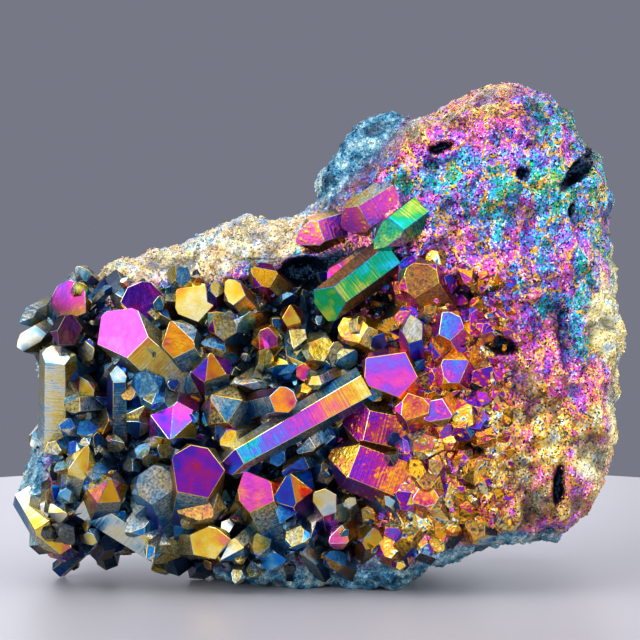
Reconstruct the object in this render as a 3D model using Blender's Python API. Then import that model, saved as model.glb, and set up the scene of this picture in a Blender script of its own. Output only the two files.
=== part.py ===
# Aura amethyst druzy: a boot-shaped piece of quartz crust, grown as one solid.
# The low left lobe carries a thicket of quartz points, and the tall right lobe is rough crust.
# Metres, +Z up. The viewer's side is -Y, and the origin is under the middle, on the resting face.

import math
import random

import bmesh
import bpy
from mathutils import Matrix, Vector, noise
from mathutils.bvhtree import BVHTree

MM = 0.001

# Driving dimensions, in millimetres
ROCK_FRONT = 16.0
ROCK_BACK = 27.0
RIGHT_LOBE_EXTRA = 9.0
RIM_ROUNDING = 15.0
RIM_POWER = 2.6
RING_DEPTHS = (-1.0, -0.97, -0.88, -0.7, -0.4, 0.0, 0.4, 0.7, 0.88, 0.97, 1.0)
RING_POINTS = 200
REMESH_SIZE = 1.7
ROCK_TRIANGLES = 3250
LUMPS = 2.2
LUMP_SPACING = 15.0
CRAGS = 1.6
CRAG_SPACING = 6.0
GRAIN = 0.6
GRAIN_SPACING = 2.6
RIDGES = 2.6
RIDGE_SPACING = (5.0, 9.0, 13.0)
BACK_SWELL = 5.0
BACK_SWELL_SPACING = 32.0

# Between these places, in millimetres, each effect grows from nothing to its full size
FRONT_Y = (2.0, -8.0)
RIGHT_LOBE_X = (2.0, 24.0)
NUB_EDGE = (-2.0, 3.0)
NUB_Z = (70.0, 78.0)
BACK_SWELL_Y = (4.0, 16.0)

# The pale nub at the top is set back behind a line that runs up to the right along the lobe
NUB_LINE_FROM = (3.0, 74.0)
NUB_LINE_TO = (19.9, 92.8)
NUB_SET_BACK = 5.0

# The outline seen from the front, clockwise from the upper left, x and z in millimetres.
# Its lowest stretch dips under z = 0, where the rock is cut off flat to rest.
OUTLINE = (
    (-57.7, 51.3), (-55.6, 55.6), (-53.0, 56.9), (-49.7, 59.1), (-44.1, 60.5), (-39.2, 63.0),
    (-33.5, 65.1), (-26.7, 67.1), (-22.6, 70.2), (-18.9, 72.5), (-14.8, 73.1), (-10.1, 71.6),
    (-2.1, 72.5), (0.8, 75.9), (0.8, 77.0), (-0.4, 79.2), (0.6, 82.1), (3.7, 85.4),
    (6.2, 89.3), (9.8, 91.5), (17.2, 94.0), (19.9, 92.8), (24.0, 94.0), (33.0, 97.3),
    (36.3, 98.3), (40.4, 98.7), (45.0, 96.3), (48.6, 95.7), (51.7, 93.4), (51.9, 88.9),
    (55.0, 86.2), (55.8, 81.3), (57.7, 73.9), (57.7, 67.5), (58.7, 57.5), (60.1, 54.8),
    (60.1, 48.4), (59.9, 37.8), (59.1, 30.6), (57.5, 25.5), (56.4, 19.7), (53.6, 14.0),
    (48.6, 10.9), (44.3, 8.6), (38.2, 9.8), (31.6, 7.4), (23.8, 3.6), (19.1, 0.2),
    (16.6, -1.6), (9.8, -2.4), (-0.4, -2.6), (-10.3, -2.4), (-15.2, -1.6), (-19.7, 0.6),
    (-23.0, 4.5), (-33.0, 5.1), (-41.0, 6.4), (-50.3, 5.0), (-53.2, 6.1), (-55.6, 8.4),
    (-57.0, 11.5), (-57.5, 14.2), (-58.6, 18.3), (-58.6, 20.7), (-57.5, 25.0), (-57.3, 28.1),
    (-56.2, 32.8), (-55.6, 37.6), (-55.6, 42.1), (-55.2, 43.7), (-56.8, 48.2),
)

# Holes and cracks in the front: x, z, half length, half width and depth in millimetres, then the
# angle of the length above the horizontal in degrees. The wall of a hole runs between these
# shares of its half length and half width.
PIT_WALL = (1.3, 0.6)
PITS = (
    (38.8, 82.3, 1.7, 1.7, 4.0, 0),
    (50.0, 83.3, 5.2, 1.4, 7.0, 42),
    (48.6, 75.1, 1.4, 1.4, 3.0, 0),
    (23.6, 87.0, 2.4, 1.2, 3.0, 15),
    (34.7, 49.5, 3.0, 1.6, 4.0, -12),
    (26.9, 59.0, 4.0, 3.4, 5.0, 20),
    (29.0, 29.8, 2.6, 2.4, 4.0, 0),
    (46.1, 22.5, 3.8, 0.9, 4.0, 85),
    (13.8, 56.3, 3.4, 3.2, 6.0, 0),
    (-3.0, 62.5, 4.2, 3.0, 6.0, 0),
)

# Places on the front are given as they look from a viewer level with the stone's middle and a
# little above it, and in millimetres as they measure at the depth of the front
MIDDLE = Vector((0.4, 0, 52.4)) * MM
VIEW_DISTANCE = 535.1 * MM
VIEW_LIFT = math.radians(4)
FRONT_DEPTH = 15.0 * MM

# The large points. Each has its tip and root as x, z in millimetres, how far the tip and the
# root stand out from the rock, its width across, the share of twice the width that its point is
# long, and the roll of its faces about its length in degrees.
POINTS = {
    "long bar": ((-18.6, 23.9), (9.4, 39.8), 10.0, 8.0, 6.8, 0.9, 0),
    "bar under long bar": ((-3.5, 27.0), (5.6, 33.0), 5.0, 4.0, 4.4, 0.7, 0),
    "wedge at the bar's tip": ((-18.7, 28.9), (-12.4, 30.6), 9.0, 6.0, 4.8, 0.6, 0),
    "big pink hexagon": ((-39.0, 51.0), (-23.6, 37.0), 9.0, 2.0, 10.4, 0.5, 0),
    "pale upright bar": ((-50.9, 46.6), (-50.7, 27.6), 5.5, 4.5, 7.6, 0.3, -12),
    "green point": ((1.6, 55.4), (14.4, 65.1), 8.5, 3.5, 7.4, 0.5, 0),
    "teal point behind": ((12.1, 67.3), (20.7, 73.7), 6.5, 1.0, 6.4, 0.8, 30),
    "striated violet": ((5.4, 70.4), (15.6, 76.4), 4.0, 0.5, 8.0, 0.6, 0),
    "brown bar": ((2.3, 59.5), (10.5, 64.7), 7.0, 2.5, 5.6, 0.7, 25),
    "pink ledge": ((-3.5, 68.4), (5.6, 71.0), 4.0, 0.5, 7.0, 0.6, 10),
    "violet fan": ((-28.7, 29.3), (-27.7, 35.9), 11.0, 2.0, 9.6, 0.6, 30),
    "big purple face": ((-23.0, 24.6), (-24.6, 15.4), 10.5, 3.0, 10.2, 0.6, 0),
    "purple face base": ((-22.0, 14.4), (-24.5, 19.4), 9.0, 1.0, 9.0, 0.6, 15),
    "grey blue neighbour": ((-33.0, 22.4), (-28.2, 12.6), 9.0, 1.0, 8.8, 0.6, 20),
    "gold at the foot": ((-20.3, 9.0), (-28.0, 9.6), 8.0, 1.0, 6.8, 0.8, 0),
    "small gold at the foot": ((-15.8, 5.9), (-14.6, 10.0), 5.0, -2.0, 4.2, 0.8, 20),
    "white foot": ((-12.5, 2.7), (-11.6, 7.0), 4.0, -2.0, 4.0, 0.9, 0),
    "left gold point": ((-45.6, 26.5), (-48.6, 17.0), 8.5, 1.5, 6.2, 1.0, 0),
    "left olive point": ((-40.4, 21.3), (-42.6, 15.6), 10.0, 1.5, 8.0, 0.6, 30),
    "lower left diagonal": ((-27.9, 6.4), (-45.6, 18.2), 7.0, 3.5, 8.2, 0.7, 25),
    "left foot": ((-49.6, 7.8), (-55.6, 18.8), 4.5, -0.5, 8.2, 0.8, 0),
    "grey beside left foot": ((-47.8, 9.6), (-52.6, 18.4), 6.0, 0.0, 4.8, 0.7, 20),
    "white point": ((1.4, 17.6), (2.8, 10.8), 9.0, 1.0, 5.2, 0.9, 10),
    "cream block": ((5.9, 17.4), (7.6, 13.0), 6.0, 0.5, 3.6, 0.4, 20),
    "pink and yellow point": ((-13.6, 21.4), (-6.6, 8.4), 9.0, 2.0, 8.2, 0.8, 0),
    "blue and orange point": ((-5.3, 22.4), (-3.4, 14.4), 9.0, 0.0, 9.0, 0.6, 30),
    "upper purple prism": ((5.8, 33.0), (17.0, 30.6), 6.5, 1.5, 9.6, 0.4, 0),
    "lower purple prism": ((2.8, 26.2), (16.8, 20.8), 6.0, 1.0, 10.0, 0.5, 10),
    "magenta hexagon": ((13.5, 43.1), (19.0, 38.6), 6.5, -1.0, 9.4, 0.5, 0),
    "gold over magenta": ((5.0, 51.6), (16.0, 46.0), 7.0, 1.5, 6.4, 0.7, 0),
    "blue violet bar": ((18.1, 52.0), (19.3, 42.6), 7.0, 1.0, 5.4, 0.8, 10),
    "orange point": ((-28.3, 50.7), (-22.8, 41.8), 9.0, 2.0, 7.6, 0.7, 0),
    "purple and orange point": ((-20.9, 46.0), (-20.4, 38.6), 9.0, 1.0, 7.6, 0.7, 20),
    "yellow block": ((-0.6, 47.8), (2.8, 43.4), 7.5, 1.0, 6.6, 0.4, 30),
    "orange hexagon": ((-6.4, 36.9), (-13.6, 35.2), 11.5, 5.0, 5.4, 0.4, 0),
    "cream bar": ((-1.4, 40.0), (4.6, 42.8), 8.5, 5.5, 3.4, 0.6, 0),
    "maroon bar": ((-3.6, 41.4), (1.6, 45.4), 7.5, 4.0, 4.2, 0.6, 20),
    "blue upright bar": ((-39.0, 43.0), (-38.8, 28.6), 7.5, 3.5, 4.6, 0.7, 10),
    "upper left corner": ((-48.8, 56.8), (-45.6, 51.0), 7.5, 1.0, 7.0, 0.5, 0),
    "maroon cube": ((-49.3, 50.5), (-45.4, 48.4), 7.5, 0.5, 6.2, 0.3, 20),
    "pale little point": ((-45.8, 40.4), (-44.0, 36.2), 7.5, 0.0, 4.8, 0.9, 0),
    "purple and gold top": ((-34.7, 56.4), (-28.8, 53.4), 6.5, 0.5, 7.6, 0.6, 10),
    "pale gold face": ((-25.0, 56.8), (-20.0, 53.0), 6.5, 0.5, 7.6, 0.5, 0),
    "ochre bar": ((-17.6, 59.3), (-9.4, 49.9), 8.5, 2.5, 5.4, 0.8, 0),
    "ochre bar's twin": ((-12.0, 62.0), (-5.4, 55.6), 6.0, 0.5, 6.2, 0.6, 25),
    "pink and gold point": ((-10.7, 49.9), (-8.4, 45.6), 8.0, 0.5, 5.6, 0.8, 0),
    "red and gold upright": ((-5.5, 54.6), (-4.4, 47.6), 7.5, 1.5, 4.8, 0.8, 10),
    "blunt grey prism": ((-20.9, 37.6), (-13.6, 31.2), 8.5, 2.0, 9.6, 0.5, 20),
    "dark patterned point": ((-18.7, 53.0), (-16.0, 47.4), 6.5, 0.5, 7.0, 0.6, 15),
    "dark prism": ((-33.6, 41.6), (-30.8, 32.4), 7.5, 1.0, 6.8, 0.6, 0),
    "pink block at the foot": ((2.6, 9.6), (7.4, 12.6), 5.5, 1.5, 5.4, 0.5, 0),
    "gold block at the foot": ((10.7, 10.9), (9.6, 6.0), 4.5, -1.0, 5.6, 0.6, 20),
    "olive facets": ((18.6, 62.4), (23.0, 55.4), 5.0, -1.0, 8.4, 0.5, 0),
    "violet by the pit": ((24.6, 52.6), (28.6, 45.8), 4.0, -1.5, 6.8, 0.5, 15),
    "rose by the flank": ((22.0, 33.6), (28.0, 38.4), 4.0, -1.5, 6.4, 0.5, 0),
    "gold by the flank": ((19.6, 17.2), (26.4, 20.6), 3.5, -1.5, 6.4, 0.5, 25),
    "striated orange block": ((18.4, 37.4), (20.6, 30.6), 4.5, -1.0, 7.6, 0.4, 0),
    "violet patch": ((24.6, 43.8), (29.0, 40.4), 3.5, -1.5, 8.0, 0.4, 20),
}
# Points whose end is one large face, and points whose end faces are alike
ONE_FACE = {
    "big pink hexagon", "big purple face", "purple and gold top", "orange hexagon", "pale gold face",
    "white point", "maroon cube", "magenta hexagon", "green point", "gold at the foot",
    "upper left corner",
}
EVEN_FACES = {
    "violet fan", "left olive point", "blue and orange point", "purple and orange point",
    "blunt grey prism",
}
END_SHARES = {"one": (1.7, 2.3), "even": (0.98, 1.12), "other": (1.15, 1.6)}
ROOT_SINK = 4.0
SIDES = 6
# The first side lies nearer the middle than the others, which makes the crystal a little flat
TABLET = 0.88
TAPER = 0.03
GIRTHS = (0.92, 1.06)

# Small points between the large ones, each drawn from a seed of its own
SMALL_SEEDS = range(1000, 1054)
SMALL_X = (-55.0, 18.0)
SMALL_Z = (4.0, 60.0)
SMALL_WIDTH = (2.6, 5.0)
SMALL_LENGTH = (9.0, 13.5)
SMALL_SINK = 4.5
SMALL_LEAN = 1.0
SMALL_POINT = (0.6, 1.2)
SMALL_SHARES = (1.1, 1.6)
SMALL_GIRTHS = (0.85, 1.1)
STEEPEST_GROUND = -0.3
UPHILL = 0.3


def clear_scene():
    for obj in list(bpy.data.objects):
        bpy.data.objects.remove(obj, do_unlink=True)


def new_object(name, mesh):
    obj = bpy.data.objects.new(name, mesh)
    bpy.context.collection.objects.link(obj)
    return obj


def keep_evaluated_mesh(obj):
    """Replace the object's mesh by what its modifiers make of it."""
    bpy.context.view_layer.update()
    evaluated = obj.evaluated_get(bpy.context.evaluated_depsgraph_get())
    mesh = bpy.data.meshes.new_from_object(evaluated)
    obj.modifiers.clear()
    obj.data = mesh


def evenly_spaced(points, count):
    """The closed outline as points at equal steps along its length."""
    corners = [Vector(p) for p in points]
    sides = list(zip(corners, corners[1:] + corners[:1]))
    step = sum((b - a).length for a, b in sides) / count
    spaced = []
    along = 0.0
    for a, b in sides:
        length = (b - a).length
        while along < length:
            spaced.append(a.lerp(b, along / length))
            along += step
        along -= length
    return spaced[:count]


def moved_inward(ring, inset):
    """The ring shrunk by short steps along its normals, smoothed a little at each step."""
    steps = max(1, round(inset))
    for _ in range(steps if inset > 0 else 0):
        before = ring[-1:] + ring[:-1]
        after = ring[1:] + ring[:1]
        smooth = [(a + 2 * p + b) / 4 for a, p, b in zip(before, ring, after)]
        inward = [(b - a).normalized() for a, b in zip(before, after)]
        ring = [p + Vector((n.y, -n.x)) * (inset / steps) for p, n in zip(smooth, inward)]
    return ring


def make_rock():
    """A rounded slab of the outline, thicker at the right, with lumps, ridges, pits and cracks."""
    outline = evenly_spaced(OUTLINE, RING_POINTS)
    bm = bmesh.new()
    rings = []
    for depth in RING_DEPTHS:
        inset = RIM_ROUNDING * (1 - (1 - abs(depth) ** RIM_POWER) ** (1 / RIM_POWER))
        thick = ROCK_FRONT if depth < 0 else ROCK_BACK
        ring = moved_inward(outline, inset)
        rings.append([bm.verts.new((p.x * MM, depth * thick * MM, p.y * MM)) for p in ring])
    for front, back in zip(rings, rings[1:]):
        for i in range(RING_POINTS):
            j = (i + 1) % RING_POINTS
            bm.faces.new((front[i], front[j], back[j], back[i]))
    bm.faces.new(rings[0])
    bm.faces.new(rings[-1])
    bmesh.ops.triangulate(bm, faces=bm.faces[:])
    bmesh.ops.recalc_face_normals(bm, faces=bm.faces[:])
    mesh = bpy.data.meshes.new("rock")
    bm.to_mesh(mesh)
    bm.free()

    rock = new_object("rock", mesh)
    remesh = rock.modifiers.new("even skin", "REMESH")
    remesh.mode = "VOXEL"
    remesh.voxel_size = REMESH_SIZE * MM
    keep_evaluated_mesh(rock)
    roughen(rock.data)
    decimate = rock.modifiers.new("fewer faces", "DECIMATE")
    decimate.ratio = ROCK_TRIANGLES / sum(len(f.vertices) - 2 for f in rock.data.polygons)
    keep_evaluated_mesh(rock)
    return rock


def smooth_step(low, high, value):
    t = min(max((value - low) / (high - low), 0.0), 1.0)
    return t * t * (3 - 2 * t)


def behind_nub_line(x, z):
    """How far in millimetres a place is to the upper left of the line below the nub."""
    along = (Vector(NUB_LINE_TO) - Vector(NUB_LINE_FROM)).normalized()
    away = Vector((x, z)) - Vector(NUB_LINE_FROM)
    return along.x * away.y - along.y * away.x


def roughen(mesh):
    """Move each corner of the skin by lumps, near-vertical ridges, crags and pits."""
    normals = [v.normal.copy() for v in mesh.vertices]
    for vertex, normal in zip(mesh.vertices, normals):
        place = vertex.co / MM
        front = smooth_step(*FRONT_Y, place.y)
        nub = smooth_step(*NUB_EDGE, behind_nub_line(place.x, place.z))
        nub *= smooth_step(*NUB_Z, place.z)
        right = smooth_step(*RIGHT_LOBE_X, place.x) * (1 - nub)
        ground = noise.noise(place / LUMP_SPACING) * LUMPS
        ground += noise.noise(place / CRAG_SPACING) * CRAGS
        ground += noise.noise(place / GRAIN_SPACING) * GRAIN
        stretched = Vector(p / spacing for p, spacing in zip(place, RIDGE_SPACING))
        ground += RIDGES * (0.5 - abs(noise.noise(stretched))) * right * front
        swell = noise.noise(place / BACK_SWELL_SPACING) * BACK_SWELL
        toward_viewer = RIGHT_LOBE_EXTRA * right - NUB_SET_BACK * nub
        place.y -= toward_viewer * smooth_step(0.0, -ROCK_FRONT, place.y)
        place.y += swell * smooth_step(*BACK_SWELL_Y, place.y)
        place += normal * ground
        place.y += pit_depth(place.x, place.z) * front
        vertex.co = place * MM


def pit_depth(x, z):
    depth = 0.0
    for pit_x, pit_z, half_length, half_width, deep, angle in PITS:
        turned = Matrix.Rotation(math.radians(-angle), 2) @ Vector((x - pit_x, z - pit_z))
        away = math.hypot(turned.x / half_length, turned.y / half_width)
        depth = max(depth, deep * smooth_step(*PIT_WALL, away))
    return depth


def cut_by(bm, point, normal):
    """Cut off what lies beyond a plane, and close the cut with one flat face."""
    cut = bmesh.ops.bisect_plane(
        bm, geom=bm.verts[:] + bm.edges[:] + bm.faces[:], dist=1e-7,
        plane_co=point, plane_no=normal, clear_outer=True,
    )
    rim = [e for e in cut["geom_cut"] if isinstance(e, bmesh.types.BMEdge)]
    if len(rim) > 2:
        bmesh.ops.edgeloop_fill(bm, edges=rim)


def make_crystal(name, root, tip, width, point, roll, girths, shares):
    """A six-sided quartz point from root to tip: a block cut by a plane for each of its faces."""
    length = (tip - root).length / MM
    block = Matrix.Diagonal((width * 3, width * 3, length * 1.5, 1))
    block.translation = (0, 0, length * 0.75)
    tilt = math.atan2(0.5, point)
    bm = bmesh.new()
    bmesh.ops.create_cube(bm, size=1, matrix=block)
    for i in range(SIDES):
        turned = math.radians(60 * i)
        outward = Vector((math.cos(turned), math.sin(turned), TAPER))
        cut_by(bm, outward * width / 2 * girths[i], outward)
    for i in range(SIDES):
        turned = math.radians(60 * i)
        flat = math.cos(tilt)
        outward = Vector((flat * math.cos(turned), flat * math.sin(turned), math.sin(tilt)))
        cut_by(bm, Vector((0, 0, length + width * point * (shares[i] - 1))), outward)
    bm.transform(standing(root, tip, roll))
    bmesh.ops.recalc_face_normals(bm, faces=bm.faces[:])
    mesh = bpy.data.meshes.new(name)
    bm.to_mesh(mesh)
    bm.free()
    return new_object(name, mesh)


def standing(root, tip, roll):
    """The matrix that stands a crystal on its root, points it at its tip and rolls it."""
    along = (tip - root).normalized()
    viewer = Vector((0, -1, 0))
    side = (viewer - along * viewer.dot(along)).normalized()
    side = Matrix.Rotation(math.radians(roll), 3, along) @ side
    turn = Matrix((side, along.cross(side), along)).transposed().to_4x4()
    return Matrix.Translation(root) @ turn @ Matrix.Scale(MM, 4)


def make_points(skin):
    """The large points, each at its own place on the front."""
    crystals = []
    for name, (tip, root, tip_out, root_out, width, point, roll) in POINTS.items():
        rng = random.Random(name)
        tip_at, _, to_eye = on_front(skin, *tip)
        tip_at += to_eye * tip_out * MM
        root_at, _, to_eye = on_front(skin, *root)
        root_at += to_eye * (root_out - ROOT_SINK) * MM
        kind = "one" if name in ONE_FACE else "even" if name in EVEN_FACES else "other"
        shares = [1.0] + [rng.uniform(*END_SHARES[kind]) for _ in range(SIDES - 1)]
        girths = [TABLET] + [rng.uniform(*GIRTHS) for _ in range(SIDES - 1)]
        crystals.append(make_crystal(name, root_at, tip_at, width, point, roll, girths, shares))
    return crystals


def make_small_points(skin):
    """Small points that fill the ground between the large ones, leaning every way."""
    crystals = []
    for seed in SMALL_SEEDS:
        rng = random.Random(seed)
        x = rng.uniform(*SMALL_X)
        z = rng.uniform(*SMALL_Z)
        lean = Vector((rng.uniform(-1, 1), 0, rng.uniform(-1, 1))) * SMALL_LEAN
        width = rng.uniform(*SMALL_WIDTH)
        length = rng.uniform(*SMALL_LENGTH)
        point = rng.uniform(*SMALL_POINT)
        roll = rng.uniform(0, 60)
        shares = [1.0] + [rng.uniform(*SMALL_SHARES) for _ in range(SIDES - 1)]
        ground, normal, to_eye = on_front(skin, x, z)
        if normal.y > STEEPEST_GROUND:
            continue
        girths = [TABLET] + [rng.uniform(*SMALL_GIRTHS) for _ in range(SIDES - 1)]
        along = (to_eye + normal * UPHILL + lean).normalized()
        root = ground - along * SMALL_SINK * MM
        tip = root + along * length * MM
        crystals.append(make_crystal("small point", root, tip, width, point, roll, girths, shares))
    return crystals


def on_front(skin, x, z):
    """The place on the rock seen at x, z in millimetres, the normal there and the way to the eye."""
    upward = Vector((0, math.sin(VIEW_LIFT), math.cos(VIEW_LIFT)))
    eye = MIDDLE + Vector((0, -math.cos(VIEW_LIFT), math.sin(VIEW_LIFT))) * VIEW_DISTANCE
    across = Vector((x * MM - MIDDLE.x, 0, 0)) + upward * (z * MM - MIDDLE.z)
    seen = MIDDLE + across * VIEW_DISTANCE / (VIEW_DISTANCE - FRONT_DEPTH)
    sight = (seen - eye).normalized()
    place, normal, _, _ = skin.ray_cast(eye, sight)
    if place is None:
        place, normal, _, _ = skin.find_nearest(Vector((x * MM, 0, z * MM)))
    return place, normal, -sight


def join(rock, crystals):
    """Rock and crystals as one closed solid."""
    grown = bpy.data.collections.new("crystals")
    bpy.context.scene.collection.children.link(grown)
    for crystal in crystals:
        bpy.context.collection.objects.unlink(crystal)
        grown.objects.link(crystal)
        crystal.hide_render = True
        crystal.display_type = "WIRE"
    union = rock.modifiers.new("grown together", "BOOLEAN")
    union.operation = "UNION"
    union.operand_type = "COLLECTION"
    union.collection = grown
    union.solver = "EXACT"
    keep_evaluated_mesh(rock)
    for crystal in crystals:
        bpy.data.objects.remove(crystal, do_unlink=True)


def cut_flat(rock):
    """Cut the rock off at z = 0, where it rests."""
    bm = bmesh.new()
    bmesh.ops.create_cube(bm, size=0.4, matrix=Matrix.Translation((0, 0, -0.2)))
    mesh = bpy.data.meshes.new("below the rest")
    bm.to_mesh(mesh)
    bm.free()
    cutter = new_object("below the rest", mesh)
    cutter.hide_render = True
    cutter.display_type = "WIRE"
    cut = rock.modifiers.new("flat rest", "BOOLEAN")
    cut.operation = "DIFFERENCE"
    cut.object = cutter
    cut.solver = "EXACT"
    keep_evaluated_mesh(rock)
    bpy.data.objects.remove(cutter, do_unlink=True)


def keep_outer_skin(rock):
    """Drop the sealed gaps between crystals, so that the solid is one closed skin."""
    bm = bmesh.new()
    bm.from_mesh(rock.data)
    bmesh.ops.triangulate(bm, faces=bm.faces[:])
    shells = []
    left = set(bm.faces)
    while left:
        shell = {left.pop()}
        edge_of_shell = list(shell)
        while edge_of_shell:
            face = edge_of_shell.pop()
            near = {f for e in face.edges for f in e.link_faces} & left
            left -= near
            shell |= near
            edge_of_shell.extend(near)
        shells.append(shell)
    shells.sort(key=len)
    inner = [face for shell in shells[:-1] for face in shell]
    bmesh.ops.delete(bm, geom=inner, context="FACES")
    bm.to_mesh(rock.data)
    bm.free()
    print("skin:", len(rock.data.polygons), "triangles,", len(shells) - 1, "sealed gaps filled")


def coated_quartz():
    """Quartz under an iridescent metal film: gold-violet, bright and smooth."""
    material = bpy.data.materials.new("coated quartz")
    material.use_nodes = True
    shader = material.node_tree.nodes["Principled BSDF"]
    shader.inputs["Base Color"].default_value = (0.42, 0.24, 0.48, 1)
    shader.inputs["Metallic"].default_value = 0.8
    shader.inputs["Roughness"].default_value = 0.25
    return material


def main():
    clear_scene()
    rock = make_rock()
    skin = BVHTree.FromObject(rock, bpy.context.evaluated_depsgraph_get())
    crystals = make_points(skin) + make_small_points(skin)
    join(rock, crystals)
    cut_flat(rock)
    keep_outer_skin(rock)
    rock.name = "druzy_cluster"
    rock.data.name = "druzy_cluster"
    rock.data.materials.clear()
    rock.data.materials.append(coated_quartz())


main()
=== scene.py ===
# %% [markdown]
# An aura amethyst druzy
#
# The object is one piece of quartz crust. It is shaped like a boot, 120 mm wide and 100 mm tall.
# The low left lobe carries a thicket of quartz points, and the tall right lobe is rough crust.
# In a vacuum chamber hot metal vapour settled on it as a film some hundred nanometres thick.
# Light reflected at the film's two sides interferes, which gives the rainbow of an oil film.
#
# The plan follows nature: first the ground that the crystals grew on, then the large points,
# then the small ones between them, and last the crust of grains. Colour comes at the end, as
# one number, the thickness of the film, that every material turns into a colour the same way.

# %% Load the fixed frame
import math
import random
from functools import partial

import bmesh
import bpy
import numpy as np
from mathutils import Matrix, Vector, noise
from mathutils.bvhtree import BVHTree


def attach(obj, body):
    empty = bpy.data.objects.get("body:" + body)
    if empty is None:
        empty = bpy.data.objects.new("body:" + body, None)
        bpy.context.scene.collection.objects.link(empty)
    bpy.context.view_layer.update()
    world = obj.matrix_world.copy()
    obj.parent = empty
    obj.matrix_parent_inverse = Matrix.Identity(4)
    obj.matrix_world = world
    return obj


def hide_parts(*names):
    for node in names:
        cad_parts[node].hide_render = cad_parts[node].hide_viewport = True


MM = 0.001
NODE = "druzy_cluster"

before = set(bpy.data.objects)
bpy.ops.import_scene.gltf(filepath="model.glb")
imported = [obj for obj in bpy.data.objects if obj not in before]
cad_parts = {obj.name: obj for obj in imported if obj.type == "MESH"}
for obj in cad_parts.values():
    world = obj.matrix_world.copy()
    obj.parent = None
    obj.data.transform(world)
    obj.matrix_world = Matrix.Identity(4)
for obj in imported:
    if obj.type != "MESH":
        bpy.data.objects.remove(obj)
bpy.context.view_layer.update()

# %% [markdown]
# The photograph is a close view with a long lens, almost level with the stone. A long lens
# keeps the outline close to a plain front view. The stone should fill 616 of the picture's 640
# pixels, and the width that the lens sees grows with distance, which gives the distance.

# %% Camera
STONE_WIDTH = 122 * MM
PICTURE_SIDE = 640
STONE_PIXELS = 616
LENS = 150
SENSOR = 36
LIFT = math.radians(4)
AIM = Vector((0.4, 0, 52.4)) * MM
FRONT_DEPTH = 7 * MM
DISTANCE = STONE_WIDTH * PICTURE_SIDE / STONE_PIXELS * LENS / SENSOR + FRONT_DEPTH
EYE = AIM + Vector((0, -math.cos(LIFT), math.sin(LIFT))) * DISTANCE


def add_camera():
    data = bpy.data.cameras.new("camera")
    data.lens = LENS
    data.sensor_width = SENSOR
    camera = bpy.data.objects.new("camera", data)
    bpy.context.scene.collection.objects.link(camera)
    camera.location = EYE
    camera.rotation_euler = (AIM - EYE).to_track_quat("-Z", "Y").to_euler()
    bpy.context.scene.camera = camera
    print("camera distance:", round(DISTANCE, 3), "m")


add_camera()

# %% [markdown]
# Colours are written as sRGB hex values, as a picture editor shows them. The renderer
# calculates with linear light, so one function turns the one into the other.

# %% Colours and nodes
def linear(hex_colour):
    """An sRGB hex colour as linear red, green, blue and an alpha of 1."""
    channels = [int(hex_colour[i:i + 2], 16) / 255 for i in (1, 3, 5)]
    return tuple(c / 12.92 if c <= 0.04045 else ((c + 0.055) / 1.055) ** 2.4 for c in channels) + (1,)


# Settings that many nodes share
ADD = {"operation": "ADD"}
MULTIPLY = {"operation": "MULTIPLY"}
MULTIPLY_ADD = {"operation": "MULTIPLY_ADD"}
RGBA = {"data_type": "RGBA"}


def add_node(tree, kind, settings=None, inputs=None, links=None, out=0):
    """Add a node with its settings, input values and linked inputs, and give one of its outputs."""
    node = tree.nodes.new("ShaderNode" + kind)
    for name, value in (settings or {}).items():
        setattr(node, name, value)
    for name, value in (inputs or {}).items():
        node.inputs[name].default_value = value
    for name, socket in (links or {}).items():
        tree.links.new(socket, node.inputs[name])
    return node.outputs[out]


def new_material(name):
    """A material with its node tree and its one shader."""
    material = bpy.data.materials.new(name)
    material.use_nodes = True
    tree = material.node_tree
    return material, tree, tree.nodes["Principled BSDF"]


# %% [markdown]
# A studio for a shiny stone is a few large, dim panels in a darker room. A flat crystal face is
# a small mirror: it shows its colour where it mirrors a panel, and goes dark where it mirrors
# the room, which gives the play of bright and dark facets. A small strong lamp would turn the
# facets white instead. So each panel states its brightness, where 1 is white in the picture.
# A square lamp of area A looks as bright as its power divided by pi times A.

# %% Floor, room and lights
FLOOR_RADIUS = 0.18
FLOOR_THICKNESS = 0.006
FLOOR_SIDES = 96
FLOOR_COLOUR = "#A6A5AB"
FLOOR_ROUGHNESS = 0.45
ROOM_COLOUR = "#767886"
ROOM_STRENGTH = 1.0
# name: direction from the stone, distance in metres, side in metres, brightness, colour
PANELS = {
    "panel_upper_left": ((-0.66, -0.55, 0.50), 1.0, 1.10, 2.6, "#FFFFFF"),
    "panel_upper_right": ((0.80, -0.45, 0.35), 1.0, 0.95, 2.1, "#F6F7FF"),
    "panel_above": ((0.05, -0.25, 1.0), 1.0, 1.10, 2.2, "#FFFFFF"),
    "panel_by_camera": ((-0.10, -1.0, 0.12), 1.2, 1.30, 1.15, "#FFFDF8"),
    "panel_low_left": ((-1.0, -0.30, 0.05), 1.0, 0.70, 1.8, "#FFFFFF"),
    "panel_right": ((0.90, 0.35, 0.15), 1.0, 0.90, 2.3, "#FFF8EC"),
    "panel_back": ((-0.25, 1.0, 0.50), 1.0, 0.90, 1.8, "#F2F5FF"),
}


def add_floor():
    bm = bmesh.new()
    bmesh.ops.create_cone(
        bm, cap_ends=True, segments=FLOOR_SIDES, radius1=FLOOR_RADIUS, radius2=FLOOR_RADIUS,
        depth=FLOOR_THICKNESS, matrix=Matrix.Translation((0, 0, -FLOOR_THICKNESS / 2)),
    )
    mesh = bpy.data.meshes.new("floor")
    bm.to_mesh(mesh)
    bm.free()
    floor = bpy.data.objects.new("floor", mesh)
    bpy.context.scene.collection.objects.link(floor)
    material, _, shader = new_material("matt_pale_board")
    shader.inputs["Base Color"].default_value = linear(FLOOR_COLOUR)
    shader.inputs["Roughness"].default_value = FLOOR_ROUGHNESS
    mesh.materials.append(material)


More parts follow.
